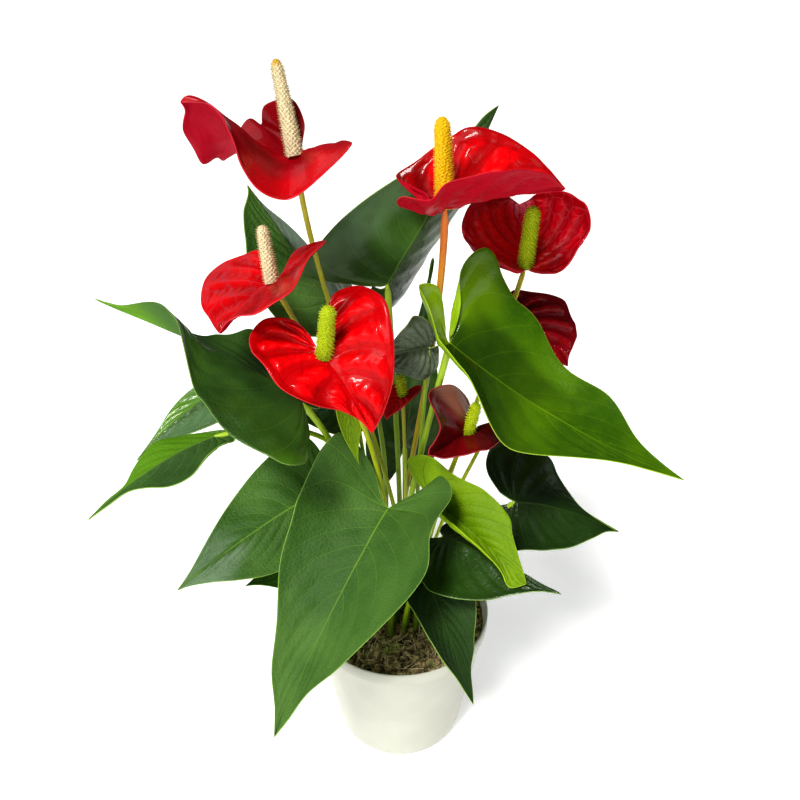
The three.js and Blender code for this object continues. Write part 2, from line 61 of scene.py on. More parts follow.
# ---- Floor and light: a plain white floor that glows a little, as a light table does, under a dim even sky.
# A small sun in front gives the waxy blades their glints, and a wide, faint one lights them from the back.
# Two soft panels in front, to the left, are mirrored in the blades.
WORLD_COLOUR = (0.95, 0.98, 1.0)
WORLD_STRENGTH = 0.13
FLOOR_REACH = 14
FLOOR_LEVEL = -0.0003
FLOOR_GLOW = 0.42
# Name, direction, angle across in degrees, strength, colour
SUNS = [
    ("key", (-0.26, -0.5, 0.83), 12, 2.5, (1.0, 0.99, 0.96)),
    ("rim", (-0.75, 0.35, 0.6), 40, 0.4, (0.95, 0.98, 1.0)),
]
# Name, place, width in metres, power in watts, colour
PANELS = [
    ("window", (-0.85, -1.5, 1.35), 0.8, 7, (0.96, 0.98, 1.0)),
    ("front", (-1.0, -1.5, 0.9), 1.1, 5, (1.0, 0.99, 0.97)),
]
PANEL_AIM = (0, 0, 0.25)


def pair(operation):
    """A method of a wire that works out this operation on it and another value."""
    return lambda wire, other: wire.sum(operation, wire, other)


class Wire:
    """An output socket of a node. A sum of wires and plain numbers adds its own Math nodes."""

    def __init__(self, board, socket):
        self.board, self.socket = board, socket

    def sum(self, operation, *values):
        return self.board.node("ShaderNodeMath", {"operation": operation}, dict(enumerate(values)))

    __add__ = __radd__ = pair("ADD")
    __sub__ = pair("SUBTRACT")
    __mul__ = __rmul__ = pair("MULTIPLY")
    __truediv__ = pair("DIVIDE")
    __pow__ = pair("POWER")
    above, below = pair("GREATER_THAN"), pair("LESS_THAN")
    most, least = pair("MAXIMUM"), pair("MINIMUM")

    def __rsub__(self, other):
        return self.sum("SUBTRACT", other, self)

    def band(self, low, high):
        """0 below low, 1 above high and smooth between. low may be the larger one."""
        values = {"Value": self, "From Min": low, "From Max": high}
        return self.board.node("ShaderNodeMapRange", {"interpolation_type": "SMOOTHSTEP"}, values)

    def line(self, width):
        """1 where the wire is 0, falling to 0 where it reaches width on either side."""
        return self.sum("ABSOLUTE", self).band(width, 0)

    def fold(self):
        """Distance from the nearest whole number, 0 to 0.5, with a sign."""
        return self - self.sum("ROUND", self)


class Board:
    """A node tree that is being wired."""

    def __init__(self, tree):
        self.tree = tree

    def node(self, kind, settings, values, out=0):
        """Adds a node: its settings first, then the values or wires of its sockets."""
        made = self.tree.nodes.new(kind)
        for name, value in settings.items():
            setattr(made, name, value)
        for name, value in values.items():
            for part in value if isinstance(value, list) else [value]:
                if isinstance(part, Wire):
                    self.tree.links.new(part.socket, made.inputs[name])
                else:
                    made.inputs[name].default_value = part
        return Wire(self, made.outputs[out]) if len(made.outputs) else made

    def mix(self, share, first, second, blend="MIX"):
        """Colour first, or second where share is 1."""
        settings = {"data_type": "RGBA", "blend_type": blend}
        colours = [colour if isinstance(colour, Wire) else (*colour, 1) for colour in (first, second)]
        return self.node("ShaderNodeMix", settings, {0: share, 6: colours[0], 7: colours[1]}, out=2)

    def vector(self, operation, *values, out="Vector"):
        return self.node("ShaderNodeVectorMath", {"operation": operation}, dict(enumerate(values)), out)

    def noise(self, place, scale, detail=2.0):
        return self.node("ShaderNodeTexNoise", {}, {"Vector": place, "Scale": scale, "Detail": detail})

    def cells(self, place, scale):
        """Distance from the nearest edge of a net of cells."""
        values = {"Vector": place, "Scale": scale}
        return self.node("ShaderNodeTexVoronoi", {"feature": "DISTANCE_TO_EDGE"}, values)

    def attribute(self, name):
        return self.node("ShaderNodeAttribute", {"attribute_name": name}, {}, "Fac")

    def place(self):
        return self.node("ShaderNodeTexCoord", {}, {}, "Object")

    def bump(self, height, distance, strength):
        values = {"Height": height, "Distance": distance, "Strength": strength}
        return self.node("ShaderNodeBump", {}, values)


def new_finish(name, paint):
    """A material whose Principled sockets are what paint(board) returns."""
    material = bpy.data.materials.new(name)
    material.use_nodes = True
    material.node_tree.nodes.clear()
    board = Board(material.node_tree)
    surface = board.node("ShaderNodeBsdfPrincipled", {}, paint(board))
    board.node("ShaderNodeOutputMaterial", {}, {"Surface": surface})
    return material


def paint_floor(board):
    return {
        "Base Color": board.mix(board.noise(board.place(), 6), (0.82, 0.82, 0.81), (0.86, 0.86, 0.85)),
        "Roughness": 0.9,
        "Emission Color": (1.0, 1.0, 1.0, 1),
        "Emission Strength": FLOOR_GLOW,
    }


def add_light(name, kind, direction, power, colour, place=(0, 0, 0)):
    """A light that shines from this direction. Its data is returned, so that its size can be set."""
    lamp = bpy.data.lights.new(name, kind)
    lamp.energy, lamp.color = power, colour
    light = bpy.data.objects.new(name, lamp)
    light.location = place
    light.rotation_euler = Vector(direction).to_track_quat("Z", "Y").to_euler()
    scene.collection.objects.link(light)
    return lamp


floor_mesh = bpy.data.meshes.new("floor")
corners = [(FLOOR_REACH * x, FLOOR_REACH * y, FLOOR_LEVEL) for x, y in ((-1, -1), (1, -1), (1, 1), (-1, 1))]
floor_mesh.from_pydata(corners, [], [(0, 1, 2, 3)])
floor = bpy.data.objects.new("floor", floor_mesh)
scene.collection.objects.link(floor)
floor_mesh.materials.append(new_finish("pale_floor", paint_floor))

world = bpy.data.worlds.new("studio")
world.use_nodes = True
world.node_tree.nodes["Background"].inputs["Color"].default_value = (*WORLD_COLOUR, 1)
world.node_tree.nodes["Background"].inputs["Strength"].default_value = WORLD_STRENGTH
scene.world = world
for name, direction, angle, strength, colour in SUNS:
    add_light(name, "SUN", direction, strength, colour).angle = math.radians(angle)
for name, place, width, power, colour in PANELS:
    add_light(name, "AREA", Vector(place) - Vector(PANEL_AIM), power, colour, place).size = width
scene.view_settings.view_transform = "Standard"
scene.view_settings.look = "Medium High Contrast"

# ---- Pot: a thin-walled nursery pot of cream-white polypropylene, moulded in one shot with a rounded foot,
# a band under the rim and six drain holes. Handling has left it dull, with a few specks of peat.
POT_OUTSIDE = [(38, 0), (40.2, 0.3), (41.8, 1.6), (43.8, 4.8), (45, 10), (52, 55), (58.6, 95), (60, 96.2),
               (60, 104.1), (59.6, 104.8), (59.15, 105)]
POT_INSIDE = [(58.7, 104.8), (58.3, 104.1), (58.3, 96), (56.9, 95), (50.3, 55), (43.3, 10), (42.1, 4.8),
              (38, 2.2)]
POT_FLOOR = 2.2
POT_SIDES = 144
DRAIN_HOLES = 6
DRAIN_RADIUS = 4
DRAIN_RING = 26
DRAIN_SIDES = 24


def add_object(name, points, faces, materials=()):
    """A new smooth object from points in millimetres."""
    mesh = bpy.data.meshes.new(name)
    mesh.from_pydata((np.asarray(points, float) * MM).tolist(), [], [list(map(int, face)) for face in faces])
    mesh.shade_smooth()
    for material in materials:
        mesh.materials.append(material)
    made = bpy.data.objects.new(name, mesh)
    scene.collection.objects.link(made)
    return made


def finished(maker, name, slot, *nodes):
    """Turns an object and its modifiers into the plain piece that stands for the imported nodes."""
    mesh = bpy.data.meshes.new_from_object(maker.evaluated_get(bpy.context.evaluated_depsgraph_get()))
    mesh.name = name
    piece = bpy.data.objects.new(name, mesh)
    scene.collection.objects.link(piece)
    bpy.data.objects.remove(maker)
    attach(piece, "root")
    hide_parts(*nodes)


def turned(name, profile, sides, materials):
    """A profile of radius and height that starts and ends on the axis, turned round it."""
    ring = [(r, z) for r, z in profile if r > 0]
    angles = np.arange(sides) * 2 * math.pi / sides
    points = [(r * math.cos(a), r * math.sin(a), z) for r, z in ring for a in angles]
    points += [(0, 0, profile[0][1]), (0, 0, profile[-1][1])]
    low, high = len(points) - 2, len(points) - 1
    last = (len(ring) - 1) * sides
    faces = []
    for side in range(sides):
        after = (side + 1) % sides
        faces.append((low, after, side))
        for base in range(0, last, sides):
            faces.append((base + side, base + after, base + sides + after, base + sides + side))
        faces.append((last + side, last + after, high))
    return add_object(name, points, faces, materials)


def paint_pot(board):
    place = board.place()
    mottle = board.noise(place, 40, 3)
    specks = board.noise(place, 1100, 2).band(0.72, 0.78) * board.noise(place, 45, 2).band(0.5, 0.62)
    shell = board.mix(mottle.band(0.35, 0.7), (0.54, 0.54, 0.46), (0.58, 0.58, 0.50))
    return {
        "Base Color": board.mix(specks, shell, (0.16, 0.11, 0.06)),
        "Roughness": 0.36 + mottle * 0.2 + specks * 0.3,
        "Normal": board.bump(board.noise(place, 900, 2), 0.00006, 0.5),
    }


pot_finish = new_finish("cream_plastic", paint_pot)
pot_maker = turned("pot_maker", [(0, 0), *POT_OUTSIDE, *POT_INSIDE, (0, POT_FLOOR)], POT_SIDES, [pot_finish])
rounding = pot_maker.modifiers.new("rounding", "BEVEL")
rounding.width, rounding.segments, rounding.limit_method = 0.0004, 2, "ANGLE"
drain_profile = [(0, -4), (DRAIN_RADIUS, -4), (DRAIN_RADIUS, 6), (0, 6)]
drains = []
for hole in range(DRAIN_HOLES):
    angle = hole * 2 * math.pi / DRAIN_HOLES
    reach = DRAIN_RING * MM
    drain = turned(f"drain_{hole}", drain_profile, DRAIN_SIDES, [pot_finish])
    drain.data.transform(Matrix.Translation((reach * math.cos(angle), reach * math.sin(angle), 0)))
    cut = pot_maker.modifiers.new(f"drain_{hole}", "BOOLEAN")
    cut.operation, cut.object, cut.solver = "DIFFERENCE", drain, "EXACT"
    drains.append(drain)
finished(pot_maker, "nursery_pot", "pot_plastic", "pot")
for drain in drains:
    bpy.data.objects.remove(drain)

# ---- Peat: moist dark brown peat with tan fibres, white crumbs of perlite and patches of moss. It is filled
# to 9 mm under the rim and pressed down round the stems.
SOIL_LEVEL = 96
SOIL_RADIUS = 56.2
SOIL_RINGS = 40
SOIL_SIDES = 120
SOIL_WALL = [(0, 2.6), (37.6, 2.6), (41.7, 4.9), (42.9, 10), (49.9, 55), (SOIL_RADIUS - 0.3, SOIL_LEVEL - 3)]
# Pieces to a square metre
CRUMBS, FIBRES, MOSS, PERLITE = 300000.0, 220000.0, 900000.0, 9000.0


class Growth(Board):
    """A Geometry Nodes group with named inputs, and the modifier that runs it."""

    def __init__(self, name, inputs):
        super().__init__(bpy.data.node_groups.new(name, "GeometryNodeTree"))
        self.tree.interface.new_socket("Geometry", in_out="OUTPUT", socket_type="NodeSocketGeometry")
        self.sockets = {}
        for label, kind in {"Geometry": "Geometry", **inputs}.items():
            made = self.tree.interface.new_socket(label, in_out="INPUT", socket_type=f"NodeSocket{kind}")
            self.sockets[label] = made.identifier
        self.entry = self.tree.nodes.new("NodeGroupInput")

    def given(self, label):
        return Wire(self, self.entry.outputs[label])

    def geometry(self, kind, values, out=0):
        return self.node(f"GeometryNode{kind}", {}, values, out)

    def random(self, low, high, seed):
        values = {2: low, 3: high, "Seed": seed}
        return self.node("FunctionNodeRandomValue", {"data_type": "FLOAT"}, values, 1)

    def store(self, geometry, name, value):
        return self.geometry("StoreNamedAttribute", {"Geometry": geometry, "Name": name, "Value": value})

    def coat(self, geometry, material):
        real = self.geometry("RealizeInstances", {"Geometry": geometry})
        return self.geometry("SetMaterial", {"Geometry": real, "Material": self.given(material)})

    def axes(self, x, y, z):
        return self.node("ShaderNodeCombineXYZ", {}, {"X": x, "Y": y, "Z": z})

    def uneven(self, low, high, seed):
        """A random number for each axis."""
        return self.axes(*(self.random(low, high, seed + i) for i in range(3)))

    def rod(self, path, sides, girth):
        """A closed round rod along a path."""
        ring = self.geometry("CurvePrimitiveCircle", {"Resolution": sides, "Radius": 1})
        values = {"Curve": path, "Profile Curve": ring, "Scale": girth, "Fill Caps": True}
        return self.geometry("CurveToMesh", values)

    def finish(self, parts):
        joined = self.geometry("JoinGeometry", {0: parts})
        self.node("NodeGroupOutput", {}, {0: self.geometry("SetShadeSmooth", {0: joined})})

    def run(self, maker, values):
        modifier = maker.modifiers.new(self.tree.name, "NODES")
        modifier.node_group = self.tree
        for label, value in values.items():
            modifier[self.sockets[label]] = value


def soil_height(x, y):
    lumps = np.sin(x * 0.31 + 1.3) * np.cos(y * 0.27) + np.sin(x * 0.73 - y * 0.59 + 2)
    grit = 0.5 * np.sin(x * 1.9 + 2 * np.sin(y * 0.9)) * np.cos(y * 1.7 + np.sin(x * 1.1))
    return SOIL_LEVEL + 0.8 * lumps + 0.5 * grit


def paint_peat(board):
    place = board.place()
    clods = board.noise(place, 260, 5)
    damp = board.noise(place, 45, 3)
    moss = board.noise(place, 60, 3).band(0.54, 0.66)
    earth = board.mix(clods.band(0.35, 0.7), (0.05, 0.032, 0.014), (0.58, 0.43, 0.24))
    green = board.mix(clods, (0.10, 0.15, 0.02), (0.55, 0.62, 0.16))
    return {
        "Base Color": board.mix(moss * 0.75, earth, green),
        "Roughness": 0.75 + damp * 0.25,
        "Normal": board.bump(clods, 0.0009, 0.8),
    }


def paint_plain(dark, light, roughness):
    """A finish for small things: two tones of one colour, with a slightly rough surface."""
    def paint(board):
        grain = board.noise(board.place(), 500, 3)
        return {
            "Base Color": board.mix(grain.band(0.35, 0.65), dark, light),
            "Roughness": roughness + grain * 0.1,
            "Normal": board.bump(grain, 0.0003, 0.6),
        }
    return paint


peat_finish = new_finish("moist_peat", paint_peat)
fibre_finish = new_finish("peat_fibre", paint_plain((0.44, 0.32, 0.16), (0.92, 0.80, 0.54), 0.7))
perlite_finish = new_finish("perlite", paint_plain((0.5, 0.48, 0.42), (0.8, 0.79, 0.74), 0.8))
moss_finish = new_finish("moss", paint_plain((0.09, 0.16, 0.02), (0.38, 0.48, 0.10), 0.8))

bed = Growth("peat_bed", {
    "Crumbs": "Float", "Fibres": "Float", "Moss": "Float", "Perlite": "Float",
    "Peat": "Material", "Fibre": "Material", "Moss green": "Material", "White": "Material"})


def scatter(density, seed, shape, size, material, mask=1.0, clear=2):
    """Instances of shape on the upward faces of the bed. size is the least and greatest scale, in metres,
    and clear the gap in millimetres to the wall of the pot."""
    up = bed.node("ShaderNodeSeparateXYZ", {}, {0: bed.geometry("InputNormal", {})}, "Z")
    place = bed.geometry("InputPosition", {})
    height = bed.node("ShaderNodeSeparateXYZ", {}, {0: place}, "Z")
    reach = bed.vector("LENGTH", bed.vector("MULTIPLY", place, (1, 1, 0)), out="Value")
    chosen = up.above(0.4) * height.above(0.09) * reach.below((SOIL_RADIUS - clear) * MM)
    values = {"Mesh": bed.given("Geometry"), "Selection": chosen, "Density": density * mask, "Seed": seed}
    points = bed.geometry("DistributePointsOnFaces", values)
    turn = bed.node("FunctionNodeEulerToRotation", {}, {0: bed.uneven(0, 2 * math.pi, seed + 10)})
    values = {"Points": points, "Instance": shape, "Rotation": turn, "Scale": bed.uneven(*size, seed + 20)}
    return bed.coat(bed.geometry("InstanceOnPoints", values), material)


def rough_ball(subdivisions, seed):
    ball = bed.geometry("MeshIcoSphere", {"Radius": 1, "Subdivisions": subdivisions})
    shift = bed.node("ShaderNodeTexNoise", {"noise_dimensions": "4D"}, {"W": seed, "Scale": 1.3}, "Color")
    shift = bed.vector("MULTIPLY", bed.vector("SUBTRACT", shift, (0.5, 0.5, 0.5)), (1.6, 1.6, 1.6))
    return bed.geometry("SetPosition", {"Geometry": ball, "Offset": shift})


def spine(sides, segments, tip, foot):
    """A thin cone, 2 long, for a fibre or a tuft of moss."""
    return bed.geometry("MeshCone", {"Vertices": sides, "Side Segments": segments, "Radius Top": tip,
                                     "Radius Bottom": foot, "Depth": 2})


moss_patch = bed.noise(bed.geometry("InputPosition", {}), 60, 3).band(0.53, 0.6)
bed.finish([
    bed.coat(bed.given("Geometry"), "Peat"),
    scatter(bed.given("Crumbs"), 1, rough_ball(2, 1), (0.0006, 0.0022), "Peat"),
    scatter(bed.given("Crumbs") * 0.12, 2, rough_ball(2, 4), (0.0015, 0.0035), "Peat"),
    scatter(bed.given("Fibres"), 3, spine(5, 3, 0.035, 0.06), (0.002, 0.0065), "Fibre", clear=7),
    scatter(bed.given("Crumbs") * 0.08, 6, rough_ball(1, 9), (0.0006, 0.0015), "Fibre"),
    scatter(bed.given("Moss"), 4, spine(4, 2, 0.02, 0.3), (0.0005, 0.0018), "Moss green", moss_patch),
    scatter(bed.given("Perlite"), 5, rough_ball(1, 7), (0.0005, 0.0011), "White"),
])

soil_top = [(SOIL_RADIUS * (1 - ring / SOIL_RINGS), SOIL_LEVEL) for ring in range(SOIL_RINGS)]
soil_maker = turned("soil_maker", [*SOIL_WALL, *soil_top, (0, SOIL_LEVEL)], SOIL_SIDES, [])
for vertex in soil_maker.data.vertices:
    if vertex.co.z > (SOIL_LEVEL - 0.01) * MM:
        vertex.co.z = soil_height(vertex.co.x / MM, vertex.co.y / MM) * MM
bed.run(soil_maker, {
    "Crumbs": CRUMBS, "Fibres": FIBRES, "Moss": MOSS, "Perlite": PERLITE,
    "Peat": peat_finish, "Fibre": fibre_finish, "Moss green": moss_finish, "White": perlite_finish})
finished(soil_maker, "peat", "peat", "soil")

# ---- Stems: leaf and flower stalks are smooth round rods of green tissue, a little stouter at the foot.
# Each grows from the crown, 8 mm deep in the peat, and leans out to its blade.
ROOT_DEPTH = 8
STEM_RINGS = 44
STEM_SIDES = 14


def bezier_through(start, via, end):
    """Corners of the cubic that passes through one or two points between its ends."""
    start, end = np.array(start, float), np.array(end, float)
    if len(via) == 1:
        control = 2 * np.array(via[0], float) - (start + end) / 2
        return [start, (start + 2 * control) / 3, (end + 2 * control) / 3, end]
    a, b = (np.array(p, float) for p in via)
    second = (-5 * start + 18 * a - 9 * b + 2 * end) / 6
    third = (-5 * end + 18 * b - 9 * a + 2 * start) / 6
    return [start, second, third, end]


def stem_curve(root, path, top):
    start = np.array([root[0], root[1], SOIL_LEVEL - ROOT_DEPTH], float)
    if path:
        return bezier_through(start, path, top)
    rise = np.array(top, float) - start
    return [start, start + rise * (0, 0, 0.5), start + rise * (0.72, 0.72, 0.85), np.array(top, float)]


def bezier_point(corners, share):
    t = np.asarray(share, float)[..., None]
    a, b, c, d = corners
    return a * (1 - t) ** 3 + 3 * b * t * (1 - t) ** 2 + 3 * c * t ** 2 * (1 - t) + d * t ** 3


def bezier_heading(corners, share):
    t = np.asarray(share, float)[..., None]
    a, b, c, d = corners
    slope = (b - a) * (1 - t) ** 2 + 2 * (c - b) * t * (1 - t) + (d - c) * t ** 2
    return slope / np.linalg.norm(slope, axis=-1, keepdims=True)


stalks = Growth("stalk", {"Path": "Object", "Foot radius": "Float", "Top radius": "Float",
                          "Swelling": "Float", "Material": "Material"})
share = stalks.geometry("SplineParameter", {}, "Factor")
slim = share.band(0.0, 0.35)
collar = share.band(0.8, 1.0) * stalks.given("Swelling")
girth = stalks.given("Foot radius") * (1.25 - slim * 0.25) * (1 - share) + stalks.given("Top radius") * share
girth = girth * (1 + collar) * (1.001 - share.band(0.985, 1.0) * 0.6)
stem_path = stalks.geometry("ObjectInfo", {"Object": stalks.given("Path")}, "Geometry")
stem_path = stalks.geometry("ResampleCurve", {"Curve": stem_path, "Count": STEM_RINGS})
stem = stalks.rod(stalks.store(stem_path, "along", share), STEM_SIDES, girth)
stalks.finish([stalks.given("Geometry"), stalks.coat(stem, "Material")])


def grow_stalk(maker, corners, foot, top, swelling, material):
    """Adds a stalk along a cubic to the object's mesh. The curve it follows is returned, to be removed."""
    curve = bpy.data.curves.new(f"{maker.name}_path", "CURVE")
    curve.dimensions = "3D"
    spline = curve.splines.new("BEZIER")
    spline.bezier_points.add(1)
    spline.resolution_u = 32
    first, second, third, last = corners
    ends = ((first, 2 * first - second, second), (last, third, 2 * last - third))
    for point, places in zip(spline.bezier_points, ends):
        point.handle_left_type = point.handle_right_type = "FREE"
        point.co, point.handle_left, point.handle_right = (Vector(place) * MM for place in places)
    path = bpy.data.objects.new(curve.name, curve)
    scene.collection.objects.link(path)
    stalks.run(maker, {"Path": path, "Foot radius": foot * MM, "Top radius": top * MM, "Swelling": swelling,
                       "Material": material})
    return path


def paint_stalk(low, high, top):
    """A stalk with fine lengthwise streaks. Its colour goes from low at the foot to top under the blade."""
    def paint(board):
        place = board.place()
        along = board.attribute("along")
        drawn = board.node("ShaderNodeMapping", {}, {"Vector": place, "Scale": (1, 1, 0.08)})
        streaks = board.noise(drawn, 900, 3)
        body = board.mix(along.band(0.05, 0.5), low, high)
        body = board.mix(along.band(0.72, 0.98), body, top)
        flecks = board.noise(place, 160, 3).band(0.55, 0.75)
        aged = streaks.band(0.45, 0.8) * 0.45 + flecks * 0.25
        return {
            "Base Color": board.mix(aged, body, (0.55, 0.55, 0.5), "MULTIPLY"),
            "Roughness": 0.3 + streaks * 0.2,
            "Normal": board.bump(streaks, 0.0002, 0.5),
        }
    return paint


petiole_finish = new_finish("leaf_stalk", paint_stalk(
    (0.16, 0.26, 0.01), (0.30, 0.46, 0.01), (0.42, 0.60, 0.03)))
scape_finish = new_finish("flower_stalk", paint_stalk(
    (0.30, 0.46, 0.01), (0.50, 0.56, 0.01), (0.48, 0.42, 0.01)))
orange_scape_finish = new_finish("orange_flower_stalk", paint_stalk(
    (0.28, 0.38, 0.004), (0.50, 0.38, 0.005), (0.74, 0.19, 0.012)))

# ---- Blades: leaves and spathes are thin heart-shaped sheets of tissue that grew in one with their midrib.
# Each half fans out from the joint and then off the midrib, and its main veins run out to a collective vein
# inside the margin.
# Outlines of a half: share of the midrib's length from the joint, and share of the half's greatest width
OUTLINES = {
    "leaf": [(-0.15, 0.1), (-0.24, 0.33), (-0.22, 0.64), (-0.07, 0.93), (0.13, 1), (0.35, 0.88),
             (0.57, 0.61), (0.76, 0.31), (0.9, 0.11), (1, 0)],
    "spathe": [(-0.16, 0.07), (-0.33, 0.26), (-0.37, 0.53), (-0.22, 0.83), (0.03, 1), (0.26, 0.98),
               (0.48, 0.84), (0.68, 0.59), (0.84, 0.31), (0.94, 0.12), (1, 0)],
}
FAN_SHARE = 0.36
WIDEST_SHARE = 0.12
REACH_STATIONS = (-0.28, WIDEST_SHARE, 0.45, 0.7)
RIPPLE = (1, 2, 0)
# How many margin points a half may move, and the direction that is up in the camera's picture
PULL_STATIONS = 11
PICTURE_UP = (0, math.sin(math.radians(CAMERA_PITCH)), math.cos(math.radians(CAMERA_PITCH)))
# Where each main vein leaves the joint or the midrib, as a share of the half's outline, and how bold it is
LEAF_VEINS = [(0.06, 0.6), (0.17, 1.0), (0.29, 1.0), (0.39, 0.5), (0.47, 0.3), (0.54, 0.4), (0.61, 0.25),
              (0.68, 0.35), (0.75, 0.25), (0.81, 0.25), (0.87, 0.2), (0.93, 0.15)]
SPATHE_VEINS = [(0.05, 0.7), (0.14, 1.0), (0.24, 1.0), (0.33, 0.8), (0.42, 0.8), (0.52, 0.8), (0.62, 0.7),
                (0.73, 0.5), (0.84, 0.4)]
FEW_VEINS = [(0.07, 0.8), (0.19, 1.0), (0.33, 1.0), (0.47, 0.8), (0.62, 0.5), (0.78, 0.3)]
VEIN_SWEEP = 0.13
COLLECTIVE_VEIN = 0.85
# Patches on a blade, in this order: painted light where it is lit, painted sheen where its wax reflects the
# light, and painted shade in its folds and where other blades shade it
TINTS = ("pale", "ashen", "deep")


def wing(out, pull=(), belly=0, lobe=1, lift=0):
    """Half a blade. out is its reach from the midrib at one to four stations, and pull how far its margin is
    drawn to the right and up in the picture. belly is its sag, and lobe and lift are the length and the rise
    of its rear lobe."""
    pull = [*pull, *[(0, 0)] * (PULL_STATIONS - len(pull))]
    return {"out": out, "pull": pull, "belly": belly, "lobe": lobe, "lift": lift}


def smooth(value, low, high):
    t = np.clip((value - low) / (high - low), 0, 1)
    return t * t * (3 - 2 * t)


def outline_at(points, share):
    """A point on the smooth curve through the outline's points."""
    points = np.array(points, float)
    position = (len(points) - 1) * share
    i = np.minimum(np.floor(position).astype(int), len(points) - 2)
    w = (position - i)[:, None]
    before, here = points[np.maximum(i - 1, 0)], points[i]
    after, beyond = points[i + 1], points[np.minimum(i + 2, len(points) - 1)]
    v0, v1 = (after - before) / 2, (beyond - here) / 2
    cubic, square = 2 * here - 2 * after + v0 + v1, -3 * here + 3 * after - 2 * v0 - v1
    return cubic * w ** 3 + square * w ** 2 + v0 * w + here


def reach_at(out, rib, along, heading):
    """A half's reach from the midrib to its widest margin, at each place along the blade."""
    reach = np.broadcast_to(np.array(out[0], float), heading.shape)
    if len(out) == 1:
        base = bezier_heading(rib, WIDEST_SHARE)
        axis = np.cross(base, heading)
        once = np.cross(axis, reach)
        return reach + once + np.cross(axis, once) / (1 + heading @ base)[..., None]
    for i in range(1, len(out)):
        blend = smooth(along, REACH_STATIONS[i - 1], REACH_STATIONS[i])[..., None]
        reach = reach * (1 - blend) + np.array(out[i], float) * blend
    return reach


def half_blade(spec, half, side, shape, edge, across):
    """Points of one half of the middle surface, for each place on the outline and each share out to it."""
    rib = bezier_through(spec["joint"], spec["via"], spec["tip"])
    height, count, phase = spec.get("ripple", RIPPLE)
    margin = outline_at(OUTLINES[shape], edge)
    base = np.maximum(0, (edge - FAN_SHARE) / (1 - FAN_SHARE)) ** 1.2
    along = base[:, None] + (margin[:, :1] - base[:, None]) * across
    width = margin[:, 1:]
    points = bezier_point(rib, np.maximum(along, 0))
    heading = bezier_heading(rib, np.maximum(along, 0))
    reach = reach_at(half["out"], rib, along, heading)
    face = np.cross(reach, heading) * side
    face /= np.linalg.norm(face, axis=-1, keepdims=True)
    behind = np.maximum(0, -along)
    length = np.linalg.norm(np.subtract(spec["tip"], spec["joint"]))
    points = points - heading * (behind * half["lobe"] * length)[..., None]
    points = points + reach * (width * across)[..., None]
    right, up = outline_at(half["pull"], edge).T
    shift = np.outer(right, (1, 0, 0)) + np.outer(up, PICTURE_UP)
    points = points + shift[:, None] * (across ** 1.5)[:, None]
    start = phase + (0 if side > 0 else 2)
    wave = height * np.sin(2 * math.pi * count * edge + start)[:, None] * across ** 2
    lift = wave * np.minimum(1, 3 * width) - 4 * half["belly"] * across * (1 - across) * width
    return points + face * (lift + half["lift"] * (behind / 0.25) ** 1.5)[..., None]


def vein_map(veins, points, edge, across):
    """Where each point lies among the veins, in millimetres from the midrib, the margin and the collective
    vein. phase is whole on a side vein, pitch is the distance between side veins and bold their strength."""
    stations, strengths = (np.array(column) for column in zip(*veins))
    sweep = edge[:, None] - VEIN_SWEEP * across ** 1.5
    ends = [stations[0] - 0.03, *stations, stations[-1] + 0.05]
    numbers = [0.5, *range(1, len(stations) + 1), len(stations) + 0.5]
    phase = np.interp(sweep, ends, numbers)
    bold = np.interp(sweep, stations, strengths) * (1 - 0.75 * across)
    down = np.gradient(points, edge, axis=0)
    out = np.gradient(points, across, axis=1)
    width = np.linalg.norm(out, axis=-1)
    apart = np.linalg.norm(np.cross(down, out), axis=-1) / np.maximum(width, 1e-6)
    pitch = apart / np.maximum(np.gradient(phase, edge, axis=0), 0.5)
    loop = (across - COLLECTIVE_VEIN - 0.03 * np.cos(2 * math.pi * phase)) * width
    sinus = np.cumsum(np.insert(apart[:-1] * np.diff(edge)[:, None], 0, 0, axis=0), axis=0)
    return {"phase": phase, "pitch": pitch, "bold": bold, "loop": loop, "rib": across * width,
            "rim": np.minimum((1 - across) * width, sinus)}


def patch_at(patches, side, edge, across):
    """How strongly a tint lies on each point of a half: patches are (side, edge from and to, across from and
    to, strength), with -1 for the left side."""
    total = np.zeros((len(edge), len(across)))
    for on_side, e0, e1, a0, a1, strength in patches:
        if on_side == side:
            down = smooth(edge, e0 - 0.05, e0 + 0.05) * (1 - smooth(edge, e1 - 0.05, e1 + 0.05))
            out = smooth(across, a0 - 0.12, a0 + 0.12) * (1 - smooth(across, a1 - 0.12, a1 + 0.12))
            total = np.maximum(total, strength * np.outer(down, out))
    return total


def weld(shape, edge):
    """Which points are kept, and their numbers: both halves share the midrib, the tip and the joint."""
    ids = np.arange(math.prod(shape)).reshape(shape)
    ids[1, :, 0] = ids[0, :, 0]
    ids[:, edge <= FAN_SHARE, 0] = ids[0, 0, 0]
    ids[:, -1, :] = ids[0, -1, 0]
    kept, ids = np.unique(ids, return_inverse=True)
    return kept, ids.reshape(shape)


def quads_of(ids):
    """The quads of both halves, all facing the same way."""
    faces = []
    for half, turn in ((0, -1), (1, 1)):
        a, b = ids[half, :-1, :-1], ids[half, 1:, :-1]
        e, d = ids[half, :-1, 1:], ids[half, 1:, 1:]
        faces.append(np.stack([a, e, d, b], axis=-1).reshape(-1, 4)[:, ::turn])
    return np.concatenate(faces)


def normals_of(points, faces):
    triangles = np.concatenate([faces[:, [0, 1, 2]], faces[:, [0, 2, 3]]])
    a, b, c = (points[triangles[:, corner]] for corner in range(3))
    normal = np.cross(b - a, c - a)
    normals = np.zeros_like(points)
    for corner in range(3):
        np.add.at(normals, triangles[:, corner], normal)
    return normals / np.maximum(np.linalg.norm(normals, axis=1, keepdims=True), 1e-12)


